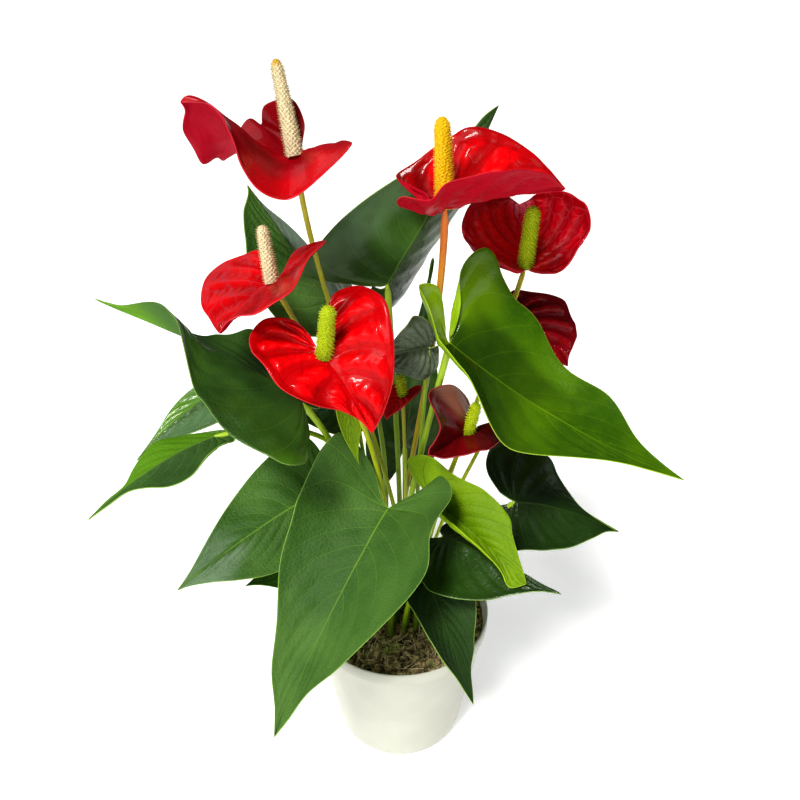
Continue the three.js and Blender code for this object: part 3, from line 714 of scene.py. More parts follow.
def emboss(points, data, across, look, seed):
    """How far each point rises off the smooth sheet, and how strong its side vein is. The height of the
    panels between the veins is added to data, for the finish's painted shade and light of the relief."""
    random = np.random.default_rng(seed)
    wobble = np.zeros(len(points))
    for _ in range(6):
        direction = random.normal(size=3)
        direction *= 2 * math.pi / (random.uniform(12, 36) * np.linalg.norm(direction))
        wobble += np.sin(points @ direction + random.uniform(0, 2 * math.pi)) / 6
    fraction = np.abs(data["phase"] - np.round(data["phase"]))
    panel = np.sin(math.pi * data["phase"]) ** 2
    window = smooth(across, 0.03, 0.2) * (1 - smooth(across, 0.78, 0.97))
    quilt = panel * np.minimum(1, data["pitch"] / 5) * window
    chevron = across * look["chevrons"] + 2.2 * fraction + 0.35 * data["phase"]
    pucker = np.cos(2 * math.pi * chevron) * panel * window
    width = look["vein_width"]
    line = data["bold"] * np.exp(-(fraction * data["pitch"] / width) ** 2)
    rib_line = np.exp(-(data["rib"] / (1.1 * width)) ** 2) * (1 - data["share"])
    edge_line = 0.5 * np.exp(-(data["loop"] / width) ** 2)
    relief = look["quilt"] * (quilt - 0.4) * window + look["pucker"] * pucker + look["wobble"] * wobble
    relief -= look["vein_depth"] * np.minimum(1, line + rib_line + edge_line)
    data["height"] = (quilt - 0.4) * look["quilt"] + pucker * look["pucker"] + 0.4 * wobble
    return relief * smooth(data["rim"], 0, 2.5), line


def make_blade(name, spec, shape, thickness, rows, columns, look, seed):
    """A closed blade with embossed veins, a rounded margin, and its veins' places stored on its points."""
    edge = np.linspace(0, 1, rows + 1)
    across = np.append(np.linspace(0, 0.96, columns - 1), [0.985, 1.0])
    grids, maps = [], []
    for half, side in ((spec["left"], -1), (spec["right"], 1)):
        grids.append(half_blade(spec, half, side, shape, edge, across))
        maps.append(vein_map(look["veins"], grids[-1], edge, across))
        for tint in TINTS:
            maps[-1][tint] = patch_at(spec.get(tint, []), side, edge, across)
    grid = np.stack(grids)
    kept, ids = weld(grid.shape[:3], edge)
    data = {key: np.stack([part[key] for part in maps]) for key in maps[0]}
    data["share"] = np.broadcast_to(edge[:, None], ids.shape)
    data["across"] = np.broadcast_to(across, ids.shape)
    data = {key: value.reshape(-1)[kept] for key, value in data.items()}
    sheet = grid.reshape(-1, 3)[kept]
    across = data.pop("across")
    faces = quads_of(ids)
    normals = normals_of(sheet, faces)
    relief, line = emboss(sheet, data, across, look, seed)
    data["vein_show"] = np.full(len(sheet), look.get("vein_show", 1.0))

    rounded = np.sqrt(1 - (1 - np.clip(data["rim"] / (thickness * 0.6), 0, 1)) ** 2)
    rise = thickness / 2 * rounded
    keel = (0.5 * (1 - across) ** 2 + 0.35 * line * smooth(data["rim"], 0, 3)) * rounded
    margin = np.zeros(len(sheet), bool)
    margin[ids[:, :, -1]] = True
    margin[ids[:, 0, :]] = True
    rise[margin] = keel[margin] = 0
    top = sheet + normals * (relief + rise)[:, None]
    bottom = sheet + normals * (relief - rise - keel)[:, None]
    under = np.arange(len(sheet))
    under[~margin] = len(sheet) + np.arange((~margin).sum())
    closed = []
    for face in np.concatenate([faces, under[faces][:, ::-1]]):
        corners = list(dict.fromkeys(face.tolist()))
        if len(corners) > 2:
            closed.append(corners)
    made = add_object(name, np.concatenate([top, bottom[~margin]]), closed)
    data["top"] = np.where(margin, 0.5, 1.0)
    for key, value in data.items():
        lower = np.zeros((~margin).sum()) if key == "top" else value[~margin]
        stored = made.data.attributes.new(key, "FLOAT", "POINT")
        stored.data.foreach_set("value", np.concatenate([value, lower]).astype(np.float32))
    return made


# ---- Leaves: leathery blades with a waxy shine, lighter veins, a fine pale margin and a duller underside.
# Each sits on its own stalk, and blade and stalk grew as one piece.
LEAF_THICKNESS = 0.7
LEAF_ROWS = 84
LEAF_COLUMNS = 34
LEAF_LOOK = {"veins": LEAF_VEINS, "quilt": 0.55, "pucker": 0.1, "wobble": 0.6, "vein_depth": 0.15,
             "vein_width": 0.7, "chevrons": 8}
CRINKLED_LOOK = LEAF_LOOK | {"quilt": 1.3, "pucker": 0.35, "wobble": 1.4, "vein_depth": 0.35, "chevrons": 5}
NARROW_LOOK = LEAF_LOOK | {"quilt": 0.2, "pucker": 0.0, "wobble": 0.2}


def paint_leaf(dark, light, vein, margin, below, pale, ashen, gloss, clear):
    """Leaf finish: dark and light are the blade's two greens, gloss is its roughness at its shiniest, and
    clear is how well its side veins show."""
    def paint(board):
        place = board.place()
        cloud = board.noise(place, 22, 3)
        grain = board.noise(place, 700, 3)
        fine = board.noise(place, 160, 4)
        web = board.cells(place, 380)
        bold, rim, top = board.attribute("bold"), board.attribute("rim"), board.attribute("top")
        away = board.attribute("phase").fold() * board.attribute("pitch")
        side_veins = away.line(0.45) * (0.15 + bold * 0.55) * clear
        rib = board.attribute("rib").line(0.8) * (1.2 - board.attribute("share"))
        veins = side_veins.most(rib).most(board.attribute("loop").line(0.3) * 0.1).least(1.0)
        body = board.mix(cloud.band(0.35, 0.68), dark, light)
        body = board.mix(fine.band(0.5, 0.75) * 0.25, body, light)
        # Painted light: lighter patches where the blade is lit
        body = board.mix(board.attribute("pale"), body, pale)
        # Painted sheen: a whitish reflection of the light on the wax
        body = board.mix(board.attribute("ashen") * (0.6 + fine * 0.6), body, ashen)
        body = board.mix(web.band(0.08, 0.0) * 0.05 * clear, body, vein)
        body = board.mix(veins * 0.85, body, vein)
        # Painted shade: darker where other blades shade the leaf, and in its folds
        body = board.mix(board.attribute("deep"), body, (0.3, 0.36, 0.3), "MULTIPLY")
        body = board.mix(rim.line(0.6), body, margin)
        under = board.mix(veins * 0.6, below, vein)
        # Painted light on the underside as well
        under = board.mix(board.attribute("pale"), under, pale)
        height = web.band(0.0, 0.3) * 0.5 + fine * 0.8 - away.line(0.5) * (0.2 + bold * 0.4)
        return {
            "Base Color": board.mix(top.band(0.2, 0.6), under, body),
            "Roughness": gloss + fine * 0.12 + cloud * 0.1 + top.band(0.6, 0.2) * 0.15,
            "Coat Weight": top.band(0.2, 0.6) * (0.5 - gloss) * 0.8,
            "Coat Roughness": 0.1,
            "Specular IOR Level": 0.26,
            "Normal": board.bump(height + grain * 0.08, 0.0005, 0.05 + gloss),
        }
    return paint


# Each green: dark and light tone, vein, margin, underside, painted light, painted sheen, gloss and clearness
GREENS = {
    "dark": ((0.018, 0.058, 0.006), (0.048, 0.120, 0.016), (0.12, 0.24, 0.02), (0.22, 0.36, 0.06),
             (0.06, 0.14, 0.025), (0.13, 0.30, 0.01), (0.11, 0.20, 0.09), 0.26, 0.9),
    "mid": ((0.038, 0.105, 0.014), (0.075, 0.165, 0.028), (0.24, 0.42, 0.03), (0.30, 0.48, 0.08),
            (0.14, 0.26, 0.03), (0.10, 0.25, 0.0), (0.26, 0.34, 0.26), 0.5, 0.75),
    "bright": ((0.030, 0.09, 0.0), (0.085, 0.19, 0.0), (0.26, 0.46, 0.01), (0.42, 0.60, 0.05),
               (0.30, 0.50, 0.005), (0.22, 0.38, 0.0), (0.42, 0.58, 0.42), 0.12, 0.65),
    "young": ((0.15, 0.27, 0.0), (0.22, 0.36, 0.001), (0.03, 0.08, 0.0), (0.38, 0.54, 0.03),
              (0.32, 0.5, 0.003), (0.34, 0.5, 0.01), (0.2, 0.3, 0.05), 0.5, 1.8),
    "dull": ((0.040, 0.056, 0.028), (0.13, 0.16, 0.10), (0.09, 0.14, 0.05), (0.28, 0.38, 0.12),
             (0.06, 0.10, 0.04), (0.15, 0.26, 0.05), (0.22, 0.26, 0.2), 0.3, 0.8),
}
LEAF_SLOTS = {"dark": "leaf_dark", "mid": "leaf_mid", "bright": "leaf_bright", "young": "leaf_young",
              "dull": "leaf_dark"}
leaf_finishes = {name: new_finish(f"{name}_leaf", paint_leaf(*tones)) for name, tones in GREENS.items()}

# A stalk enters the peat at root, may pass the points of path, and ends at the blade's joint. The midrib
# runs from joint through via to tip. stem is the stalk's radius, and ripple the height, the number and the
# start of the margin's waves.
# The patches of each blade, in the order of TINTS, are painted light, painted sheen and painted shade
LEAVES = [
    dict(node="leaf_right_bright", name="bright_leaf_right", green="bright", root=(-2, -4),
         path=[(2, -5, 168), (13, -6, 240)], joint=(27, -10, 312), via=[(86, -32, 277)],
         tip=(153, -52, 251), stem=1.9, ripple=(1.5, 2.5, 1),
         pale=[(1, -0.1, 0.33, -0.2, 1.2, 1), (-1, 0.22, 0.4, 0.3, 0.9, 0.4)],
         ashen=[(-1, 0.14, 0.15, 0.2, 0.7, 0.2)],
         deep=[(-1, 0.37, 0.66, -0.2, 0.6, 0.7), (1, 0.37, 0.62, -0.2, 1.2, 0.6)],
         left=wing([(36, 26, 60), (20, 20, 24), (16, 24, 24), (15, 28, 28)], belly=3, lobe=0.4,
                   pull=[(5.2, -6.9), (5.6, -8), (-3.6, -4.7), (0, 0), (5.9, 0.3), (3.2, 4.3), (-1.5, -0.7),
                         (3.2, 2.3)]),
         right=wing([(-18, -25, 38), (-11, -27, 0), (-17, -32, -16), (-12, -27, -20)], belly=2, lobe=0.35,
                    lift=14,
                    pull=[(0.7, -3.5), (-0.5, 4.6), (-5.1, 1.4), (4.6, -1.8), (4.1, 8), (-1.2, 7.7),
                          (-5.8, 4), (-3.9, 5.8), (-4.1, 5.1), (-2.8, 2.5)])),
    dict(node="leaf_front_large", name="large_leaf_front", green="mid", root=(-6, -18),
         joint=(-7, -30, 214), via=[(-36, -75, 182)], tip=(-71, -110, 114), stem=1.9, ripple=(1.5, 3, 0),
         left=wing([(32, -40, 13)], belly=4, lobe=0.7, lift=4,
                   pull=[(-1.6, -8.1), (0.3, -5.3), (0.9, 5.6), (1.9, 6.6), (-7.2, 5.5), (3.1, 7.2),
                         (-0.8, 1.9), (-0.8, 1.9), (-1.6, 3.1)]),
         right=wing([(-48, -13, 77), (-50, 9, 17), (-46, 13, 16), (-46, 13, 16)], belly=5, lobe=0.3,
                    pull=[(-2, -3), (1.1, -0.5), (2.8, 3.9), (6.6, -2), (4.7, -2.2), (6.2, 0), (0.8, 0),
                          (0, 0), (-3.8, 0), (-1.6, 0)])),
    dict(node="leaf_left_dark", name="dark_leaf_left", green="dark", root=(-17, -6),
         path=[(-20, -9, 153), (-28, -15, 218)], joint=(-53, -25, 283), via=[(-99, -4, 302)],
         tip=(-176, 28, 321), stem=1.8, ripple=(1.5, 2.5, 0),
         pale=[(-1, 0.86, 1.1, -0.2, 1.2, 0.9), (1, 0.86, 1.1, -0.2, 1.2, 0.9),
               (-1, -0.1, 0.4, 0.85, 1.2, 0.35)],
         deep=[(-1, 0.45, 0.84, -0.2, 0.35, 0.6), (1, 0.3, 0.84, -0.2, 1.2, 0.5)],
         left=wing([(-3, -50, -17), (-4, -49, -14), (-24, -46, -10), (10, -14, 32)], belly=-3, lobe=0.3,
                   pull=[(-4.6, 3), (-1.7, 0), (0, 1), (-1, 5.5), (-4.2, 6.9), (-3, 5.1), (6.7, 5.5),
                         (-4.2, -3.9), (1.7, 4.6)]),
         right=wing([(-6, 42, 10), (-22, 46, 12), (-14, 36, 6), (4, 26, 2)], belly=3, lobe=0.5,
                    pull=[(0, 0), (0, 0), (0, 0), (0, 0), (0, 0), (0, 0), (0, -2.6), (0, -3.7)])),
    dict(node="leaf_left_low_tip", name="light_leaf_left", green="mid", root=(-20, 8),
         path=[(-28, 13, 205), (-60, 8, 243)], joint=(-109, -5, 248), via=[(-143, -22, 237)],
         tip=(-178, -42, 215), stem=1.7, pale=[(1, -0.1, 1.1, -0.2, 1.2, 0.9)],
         deep=[(-1, -0.1, 0.7, -0.2, 1.2, 0.4)],
         left=wing([(8, -23, -4)], belly=2,
                   pull=[(-2, 0), (-7.4, -0.4), (-10, 0), (-9.1, 5.6), (-4.4, 5.6), (0, 0), (2, 0),
                         (3.2, 4.7), (5.9, 7), (5.6, 4.4)]),
         right=wing([(-10, 25, 0)], belly=2,
                    pull=[(-2.5, -3.4), (-6.6, -7.4), (-8.8, -11.8), (-5, -12), (-4.4, -10.6), (0, -6.2),
                          (0, 0), (2.2, 0), (6.2, 2.2), (4.4, 4)])),
    dict(node="leaf_left_back", name="back_leaf_left", green="dark", root=(-14, 12), joint=(-104, 46, 257),
         via=[(-136, 30, 241)], tip=(-163, 8, 221), stem=1.7, ripple=(1, 2, 1),
         pale=[(1, 0, 1.1, -0.2, 1.2, 0.6)],
         ashen=[(-1, 0.2, 0.9, 0.2, 1.2, 0.6), (1, 0, 0.6, 0.3, 1.2, 0.6)],
         left=wing([(13, -24, -4)], belly=3, lobe=0.5),
         right=wing([(-5, 11, 0)], belly=2,
                    pull=[(0, 0), (0, 0), (0, 0), (0, 0), (0, 1), (0, 3), (0, 5), (0, 5), (0, 2)])),
    dict(node="leaf_left_inner", name="inner_leaf_left", green="dark", root=(-10, 2), joint=(-33, 10, 258),
         via=[(-56, 15, 257)], tip=(-80, 20, 252), stem=1.4,
         left=wing([(2, -13, -12)], belly=2), right=wing([(0, 14, 13)], belly=2)),
    dict(node="leaf_left_low", name="low_leaf_left", green="mid", root=(-15, 3), joint=(-49, -14, 214),
         via=[(-87, -39, 202)], tip=(-126, -66, 184), stem=1.7, ripple=(1.5, 2.5, 2),
         ashen=[(-1, 0.7, 1, 0.2, 1.2, 0.4), (1, 0.75, 1, 0.2, 1.2, 0.3)],
         left=wing([(-2, -31, -20)], belly=3), right=wing([(-13, 33, 18)], belly=3, lobe=0.4)),
    dict(node="leaf_left_small", name="small_leaf_left", green="dark", root=(-21, 1), joint=(-42, 0, 158),
         via=[(-68, -18, 161)], tip=(-94, -40, 162), stem=1.4,
         left=wing([(6, -24, -12)], belly=2, lobe=0.3), right=wing([(-8, 14, 4)], belly=2, lobe=0.3)),
    dict(node="leaf_back_left", name="tall_leaf_back_left", green="mid", root=(-8, 9),
         path=[(-9, 13, 170), (-13, 16, 245)], joint=(-40, 30, 319), via=[(-66, 47, 349)],
         tip=(-88, 62, 377), stem=1.6, ripple=(1.5, 2, 0), ashen=[(1, 0.3, 0.97, 0.45, 1.2, 1)],
         left=wing([(-38, -14, -4), (-36, -12, 4), (-31, -9, 12), (-30, -10, 22)], belly=3),
         right=wing([(4, 34, -8)], belly=3)),
    dict(node="leaf_back_far", name="far_leaf_back", green="dull", root=(-6, 17), joint=(-31, 70, 298),
         via=[(-60, 90, 321)], tip=(-92, 106, 338), stem=1.6, ripple=(1.5, 2, 0),
         left=wing([(-33, -12, -6)], belly=3),
         right=wing([(6, 34, -2)], belly=3,
                    pull=[(0, 0), (0, 0), (0, 0), (0, -2), (-2, -4), (-2, -4), (-2, -4), (0, -4), (0, -4),
                          (0, -2)])),
    dict(node="leaf_back_glossy", name="glossy_leaf_back", green="dark", root=(1, 9), joint=(-7, 12, 337),
         via=[(23, 35, 381)], tip=(54, 62, 421), stem=1.7, ripple=(1.5, 2, 0),
         ashen=[(-1, 0.35, 0.75, 0.5, 1, 0.45), (-1, 0, 0.25, 0.2, 0.8, 0.4)],
         deep=[(1, -0.1, 0.8, -0.2, 1.2, 0.3)],
         left=wing([(-36, -14, 16), (-40, -12, 16), (-36, -11, 20), (-30, -10, 24)], belly=3,
                   pull=[(19.5, 23.4), (17, 31), (8.6, 23), (-4.4, 8.6), (-3.6, 0), (0, 0), (3, -2.3),
                         (4, -3), (3, -3)]),
         right=wing([(18, 36, -6), (20, 36, -16), (18, 30, -24), (16, 26, -30)], belly=-3,
                    pull=[(-1.5, 14), (-1.5, 15.6), (3.4, 5.5), (0, 0), (-3.9, 2.3), (-7.5, 0), (-6, 0)])),
    dict(node="leaf_centre_crinkled", name="crinkled_leaf_centre", green="dull", root=(9, 1),
         joint=(16, -5, 307), via=[(0, -11, 306)], tip=(-20, -16, 300), stem=1.3, ripple=(1.2, 4, 0),
         look=CRINKLED_LOOK, ashen=[(-1, 0.1, 0.8, 0.2, 1.2, 0.4), (1, 0.1, 0.9, 0.2, 0.9, 0.4)],
         left=wing([(0, -3, -18)], belly=-1, lobe=0.3,
                   pull=[(3.5, 2.7), (4, 1.4), (3.4, 2), (3.4, 1.4), (1.4, 0)]),
         right=wing([(-2, -4, 16)], belly=-1, lobe=0.3,
                    pull=[(3.4, 3.4), (3, 4.8), (1.6, 2.3), (-1, 2.7), (-3.8, 4.1), (-0.7, 4.1), (2.5, 3.8),
                          (3, 0)])),
    dict(node="leaf_front_young", name="young_leaf_front", green="young", root=(10, -15),
         path=[(10, -15, 129), (11, -14, 170)], joint=(23, -20, 210), via=[(47, -46, 204)],
         tip=(71, -66, 189), stem=1.4,
         left=wing([(-16, -9, 41), (12, 2, 22), (12, 4, 20), (12, 4, 20)], belly=-3, lobe=0.6,
                   pull=[(0, 0), (-4.9, 2.9), (-4.3, 4.4), (2.2, 3.8), (-1, -1.9), (3.4, -1), (8.1, -2.9),
                         (3.7, 0), (2.6, 0), (1.8, 0)]),
         right=wing([(-18, -18, 0)], belly=2,
                    pull=[(3.4, -1.5), (6.6, -1.2), (10.6, 3.7), (14, 5.9), (16, 8.5), (12, 9.6), (8, 7.6),
                          (3.7, 4.7), (0, 0), (-4, -4.9)])),
    dict(node="leaf_right_low", name="low_leaf_right", green="dark", root=(18, -9), joint=(26, -26, 189),
         via=[(50, -44, 191)], tip=(90, -72, 187), stem=1.6, ripple=(1.5, 2, 0),
         deep=[(-1, -0.1, 1.1, -0.2, 1.2, 0.5), (1, -0.1, 1.1, -0.2, 1.2, 0.6)],
         left=wing([(18, 18, 6)], belly=3, lobe=0.4,
                   pull=[(0, 0), (0, 0), (0, 0), (0, 0), (0, 0), (0, 0), (0, 0), (-2.2, -2.6), (-5.1, -3.4),
                         (-5.1, -3.7)]),
         right=wing([(-18, -27, -8)], belly=3, lobe=0.7,
                    pull=[(0, 0), (0, 0), (0, 0), (0, 0), (3, -1), (0, -4.8), (1.8, -8.8), (0, -8.7),
                          (-3.7, -4.3), (-2.6, -0.7)])),
    dict(node="leaf_right_dark", name="dark_leaf_right", green="dark", root=(18, -1), joint=(72, 0, 195),
         via=[(99, -18, 203)], tip=(125, -45, 209), stem=1.7, ripple=(1.5, 2, 0),
         deep=[(-1, -0.1, 1.1, -0.2, 1.2, 1), (1, -0.1, 1.1, -0.2, 1.2, 1)],
         left=wing([(9, 38, 12)], belly=3,
                   pull=[(0, 2), (-2.5, 6.9), (-5.4, 8.9), (-6.9, 11.2), (-3, 4.9), (0, -1.7), (-7.7, -5.8),
                         (-9.5, -6.9), (-7.2, -4.2), (-3.8, -1.2)]),
         right=wing([(-9, -30, -12)], belly=3,
                    pull=[(0, 0), (0, 0), (0, 0), (0, 0), (0, 0), (0, 0), (3, -3.5), (3, -5.4),
                          (1.8, -2.6)])),
    dict(node="leaf_front_low", name="low_leaf_front", green="mid", root=(2, -18), joint=(15, -38, 169),
         via=[(28, -62, 148)], tip=(44, -82, 106), stem=1.5,
         deep=[(-1, -0.1, 1.1, -0.2, 1.2, 1), (1, -0.1, 1.1, -0.2, 1.2, 1)],
         left=wing([(27, -6, -2)], belly=3,
                   pull=[(0, 0), (0, 0), (0, 0), (0, 0), (0, 0), (-1.5, 0), (-2.9, 0), (-1.6, 1),
                         (-1.5, 2)]),
         right=wing([(-20, -18, 6)], belly=3,
                    pull=[(0, 0), (0, 0), (0, 0), (3, 0), (6, 0), (7.4, 0), (5, 0), (2.4, 0), (1.5, 0)])),
    dict(node="leaf_back_centre", name="centre_leaf_back", green="dark", root=(3, 17), joint=(3, 28, 219),
         via=[(11, 37, 280)], tip=(19, 37, 343), stem=1.5,
         left=wing([(-27, 4, 4), (-25, 4, 4), (-13, 4, 2), (-8, 4, 2)], belly=3),
         right=wing([(22, 8, -4), (24, 8, -4), (16, 6, -2), (8, 4, 0)], belly=3)),
    dict(node="leaf_young_narrow", name="narrow_leaf_young", green="young", root=(-13, -13),
         joint=(-27, -20, 292), via=[(-27, -28, 270)], tip=(-23, -31, 246), stem=1.2, ripple=(0.4, 2, 0),
         look=NARROW_LOOK,
         left=wing([(8, -3, 0)], belly=1), right=wing([(-8, -2, 0)], belly=1)),
]

for number, leaf in enumerate(LEAVES):
    maker = make_blade(f"{leaf['name']}_maker", leaf, "leaf", LEAF_THICKNESS, LEAF_ROWS, LEAF_COLUMNS,
                       leaf.get("look", LEAF_LOOK), number)
    maker.data.materials.append(leaf_finishes[leaf["green"]])
    corners = stem_curve(leaf["root"], leaf.get("path"), leaf["joint"])
    path = grow_stalk(maker, corners, leaf["stem"], leaf["stem"] * 0.9, 0.2, petiole_finish)
    finished(maker, leaf["name"], LEAF_SLOTS[leaf["green"]], leaf["node"])
    bpy.data.objects.remove(path)

# ---- Blooms: each is a stalk, a lacquered red spathe that sits on its top, and a spadix, the fleshy spike
# whose florets stand in close spirals. They grew together, and each colour is a piece of its own.
SPATHE_THICKNESS = 0.8
SPATHE_ROWS = 100
SPATHE_COLUMNS = 46
# Where stalk and spadix meet the spathe, as a share of its midrib
SEAT_SHARE = 0.045
# Square millimetres to a floret, its greatest scale, and the turn from one to the next in radians
FLORET_AREA = 1.9
FLORET_SIZE = 1.35
GOLDEN_ANGLE = 2.399963
# The spike's end is a dome: where it begins, and over what share of the length it closes
DOME_START = 0.88
DOME_SHARE = 0.124
SPATHE_LOOK = {"veins": SPATHE_VEINS, "quilt": 0.9, "pucker": 0.12, "wobble": 0.5, "vein_depth": 0.3,
               "vein_width": 0.7, "chevrons": 8, "vein_show": 0.5}
SMOOTH_LOOK = SPATHE_LOOK | {"veins": FEW_VEINS, "quilt": 0.25, "pucker": 0.03, "wobble": 0.9,
                             "vein_depth": 0.1, "vein_show": 0.05}
NETTED_LOOK = SPATHE_LOOK | {"veins": FEW_VEINS, "quilt": -0.5, "vein_depth": -0.3, "vein_show": 0.75}
RIDGED_LOOK = SPATHE_LOOK | {"veins": FEW_VEINS, "quilt": 1.9, "pucker": 0.2, "wobble": 0.9,
                             "vein_show": -0.6, "chevrons": 5}
FURROWED_LOOK = SPATHE_LOOK | {"quilt": 1.9, "pucker": 0.3, "wobble": 0.8, "vein_show": 0.3}


def paint_spathe(dark, light, vein, below, ashen, lit):
    """Spathe finish: dark in the dips between the raised panels and light on them, as painted shade and
    light of the relief. Its veins are paler where vein_show is above 0, and dark grooves where it is below."""
    def paint(board):
        place = board.place()
        cloud = board.noise(place, 30, 3)
        fine = board.noise(place, 260, 4)
        top, show = board.attribute("top"), board.attribute("vein_show")
        away = board.attribute("phase").fold() * board.attribute("pitch")
        side_veins = away.line(0.4) * (0.3 + board.attribute("bold") * 0.7)
        loop = board.attribute("loop").line(0.45) * 0.6
        warp = board.vector("MULTIPLY_ADD", board.noise(place, 90, 2), (0.006, 0.006, 0.006), place)
        net = board.cells(warp, 105).band(0.06, 0.01) * 0.5
        veins = side_veins.most(loop).most(net).least(1.0)
        # Painted shade and light of the relief: darker in the dips, lighter on the raised panels, with a
        # random cloud of tone
        painted_relief_shade_and_tone = board.attribute("height").band(-0.3, 0.6) * 0.6 + cloud.band(0.3, 0.7) * 0.5
        body = board.mix(painted_relief_shade_and_tone.least(1.0), dark, light)
        # Painted light: patches in the lit colour where the spathe is lit
        body = board.mix(board.attribute("pale"), body, lit)
        body = board.mix(veins * show.most(0.0), body, vein)
        body = board.mix(veins * (show * -1).most(0.0), body, (0.35, 0.3, 0.3), "MULTIPLY")
        # Painted shade: darker in folds and where the spathe is shaded
        body = board.mix(board.attribute("deep"), body, (0.3, 0.3, 0.3), "MULTIPLY")
        # Painted sheen: a whitish reflection of the light
        body = board.mix(board.attribute("ashen"), body, ashen)
        lip = board.mix(0.5, light, (0.9, 0.12, 0.16))
        body = board.mix(board.attribute("rim").line(0.7) * 0.6, body, lip)
        under = board.mix(veins * 0.5, below, dark)
        # Painted light on the underside as well
        under = board.mix(board.attribute("pale"), under, light)
        return {
            "Base Color": board.mix(top.band(0.2, 0.6), under, body),
            "Roughness": 0.2 + fine * 0.1 + cloud * 0.08 + top.band(0.6, 0.2) * 0.15,
            "Coat Weight": top.band(0.2, 0.6) * 0.16,
            "Coat Roughness": 0.04,
            "Specular IOR Level": 0.09,
            "Normal": board.bump(fine - veins * 0.5, 0.0004, 0.4),
        }
    return paint


def paint_spadix(foot, body, tip, dots):
    """Spadix finish: its colour changes from foot to tip, and each floret has a point of its own colour."""
    def paint(board):
        along, tone = board.attribute("along"), board.attribute("tone")
        flesh = board.mix(along.band(0.0, 0.3), foot, body)
        flesh = board.mix(along.band(0.9, 0.98), flesh, tip)
        flesh = board.mix(board.attribute("point"), flesh, dots)
        grain = board.noise(board.place(), 1500, 2)
        return {
            "Base Color": board.mix(tone * 0.2, flesh, (0.75, 0.72, 0.6), "MULTIPLY"),
            "Roughness": 0.42 + grain * 0.15,
            "Specular IOR Level": 0.25,
            "Subsurface Weight": 0.15,
            "Subsurface Radius": (0.002, 0.0015, 0.0008),
            "Normal": board.bump(grain, 0.0001, 0.5),
        }
    return paint


# Each red: tone in the painted-shade dips and on the panels, vein, underside, painted sheen, painted light
REDS = {
    "red": ((0.34, 0.0, 0.002), (0.78, 0.0, 0.003), (0.40, 0.04, 0.065), (0.42, 0.002, 0.018),
            (0.6, 0.16, 0.17), (0.95, 0.02, 0.003)),
    "deep_red": ((0.28, 0.0, 0.005), (0.47, 0.0, 0.009), (0.72, 0.11, 0.14), (0.42, 0.001, 0.02),
                 (0.36, 0.09, 0.12), (0.85, 0.005, 0.004)),
    "maroon": ((0.055, 0.002, 0.003), (0.21, 0.002, 0.006), (0.26, 0.02, 0.02), (0.24, 0.004, 0.01),
               (0.34, 0.17, 0.12), (0.42, 0.0, 0.012)),
}
SPADIX_TONES = {
    "cream": ((0.68, 0.58, 0.38), (0.76, 0.66, 0.42), (0.66, 0.40, 0.03), (0.52, 0.42, 0.22)),
    "yellow": ((0.72, 0.44, 0.002), (0.80, 0.52, 0.003), (0.78, 0.50, 0.004), (0.86, 0.62, 0.05)),
    "green": ((0.24, 0.33, 0.002), (0.42, 0.52, 0.004), (0.46, 0.56, 0.006), (0.50, 0.60, 0.04)),
}
spathe_finishes = {name: new_finish(f"{name}_spathe", paint_spathe(*tones)) for name, tones in REDS.items()}
spadix_finishes = {name: new_finish(f"{name}_spadix", paint_spadix(*tones))
                   for name, tones in SPADIX_TONES.items()}

spike = Growth("spadix", {"Length": "Float", "Foot radius": "Float", "Tip radius": "Float", "Florets": "Int",
                          "Floret size": "Float", "Ripeness": "Float", "Place": "Vector", "Turn": "Rotation",
                          "Material": "Material"})


def spike_radius(share):
    """The spike's radius at a share of its length, and the share of it that its domed end leaves."""
    past = ((share - DOME_START) / DOME_SHARE).most(0.0)
    dome = past.sum("SQRT", (1.0 - past ** 2).most(0.0))
    girth = spike.given("Foot radius") * (1 - share) + spike.given("Tip radius") * share
    return girth * dome, dome


index = spike.geometry("InputIndex", {})
share = (index + spike.random(0, 3, 5)) / spike.given("Florets")
radius, dome = spike_radius(share)
angle = index * GOLDEN_ANGLE + spike.random(-0.1, 0.1, 6)
x, y = angle.sum("COSINE", angle), angle.sum("SINE", angle)
place = spike.axes(x * radius, y * radius, share * spike.given("Length"))
points = spike.geometry("Points", {"Count": spike.given("Florets"), "Position": place})
points = spike.store(points, "along", share * spike.given("Ripeness"))
points = spike.store(points, "tone", spike.random(0, 1, 3))
turn = spike.node("FunctionNodeAlignRotationToVector", {}, {"Vector": spike.axes(x, y, 1.15 - dome)})
bud = spike.geometry("MeshIcoSphere", {"Radius": 1, "Subdivisions": 2})
bud = spike.store(spike.geometry("Transform", {"Geometry": bud, "Scale": (0.6, 0.6, 0.34)}), "point", 0.0)
style = spike.geometry("MeshCone", {"Vertices": 6, "Radius Top": 0.07, "Radius Bottom": 0.17, "Depth": 0.8})
style = spike.geometry("Transform", {"Geometry": style, "Translation": (0, 0, 0.25)})
floret = spike.geometry("JoinGeometry", {0: [bud, spike.store(style, "point", 1.0)]})
size = spike.given("Floret size") * (0.45 + 0.55 * dome) * spike.random(0.85, 1.1, 7)
florets = {"Points": points, "Instance": floret, "Rotation": turn, "Scale": size}
factor = spike.geometry("SplineParameter", {}, "Factor")
core = spike.geometry("CurvePrimitiveLine", {"End": spike.axes(0, 0, spike.given("Length"))})
core = spike.geometry("ResampleCurve", {"Curve": core, "Count": 40})
core = spike.store(core, "along", factor * spike.given("Ripeness"))
core = spike.rod(core, 20, spike_radius(factor)[0] + 0.00018)
whole = spike.geometry("JoinGeometry", {0: [spike.geometry("InstanceOnPoints", florets), core]})
whole = spike.geometry("Transform", {"Geometry": whole, "Translation": spike.given("Place"),
                                     "Rotation": spike.given("Turn")})
spike.finish([spike.coat(whole, "Material")])
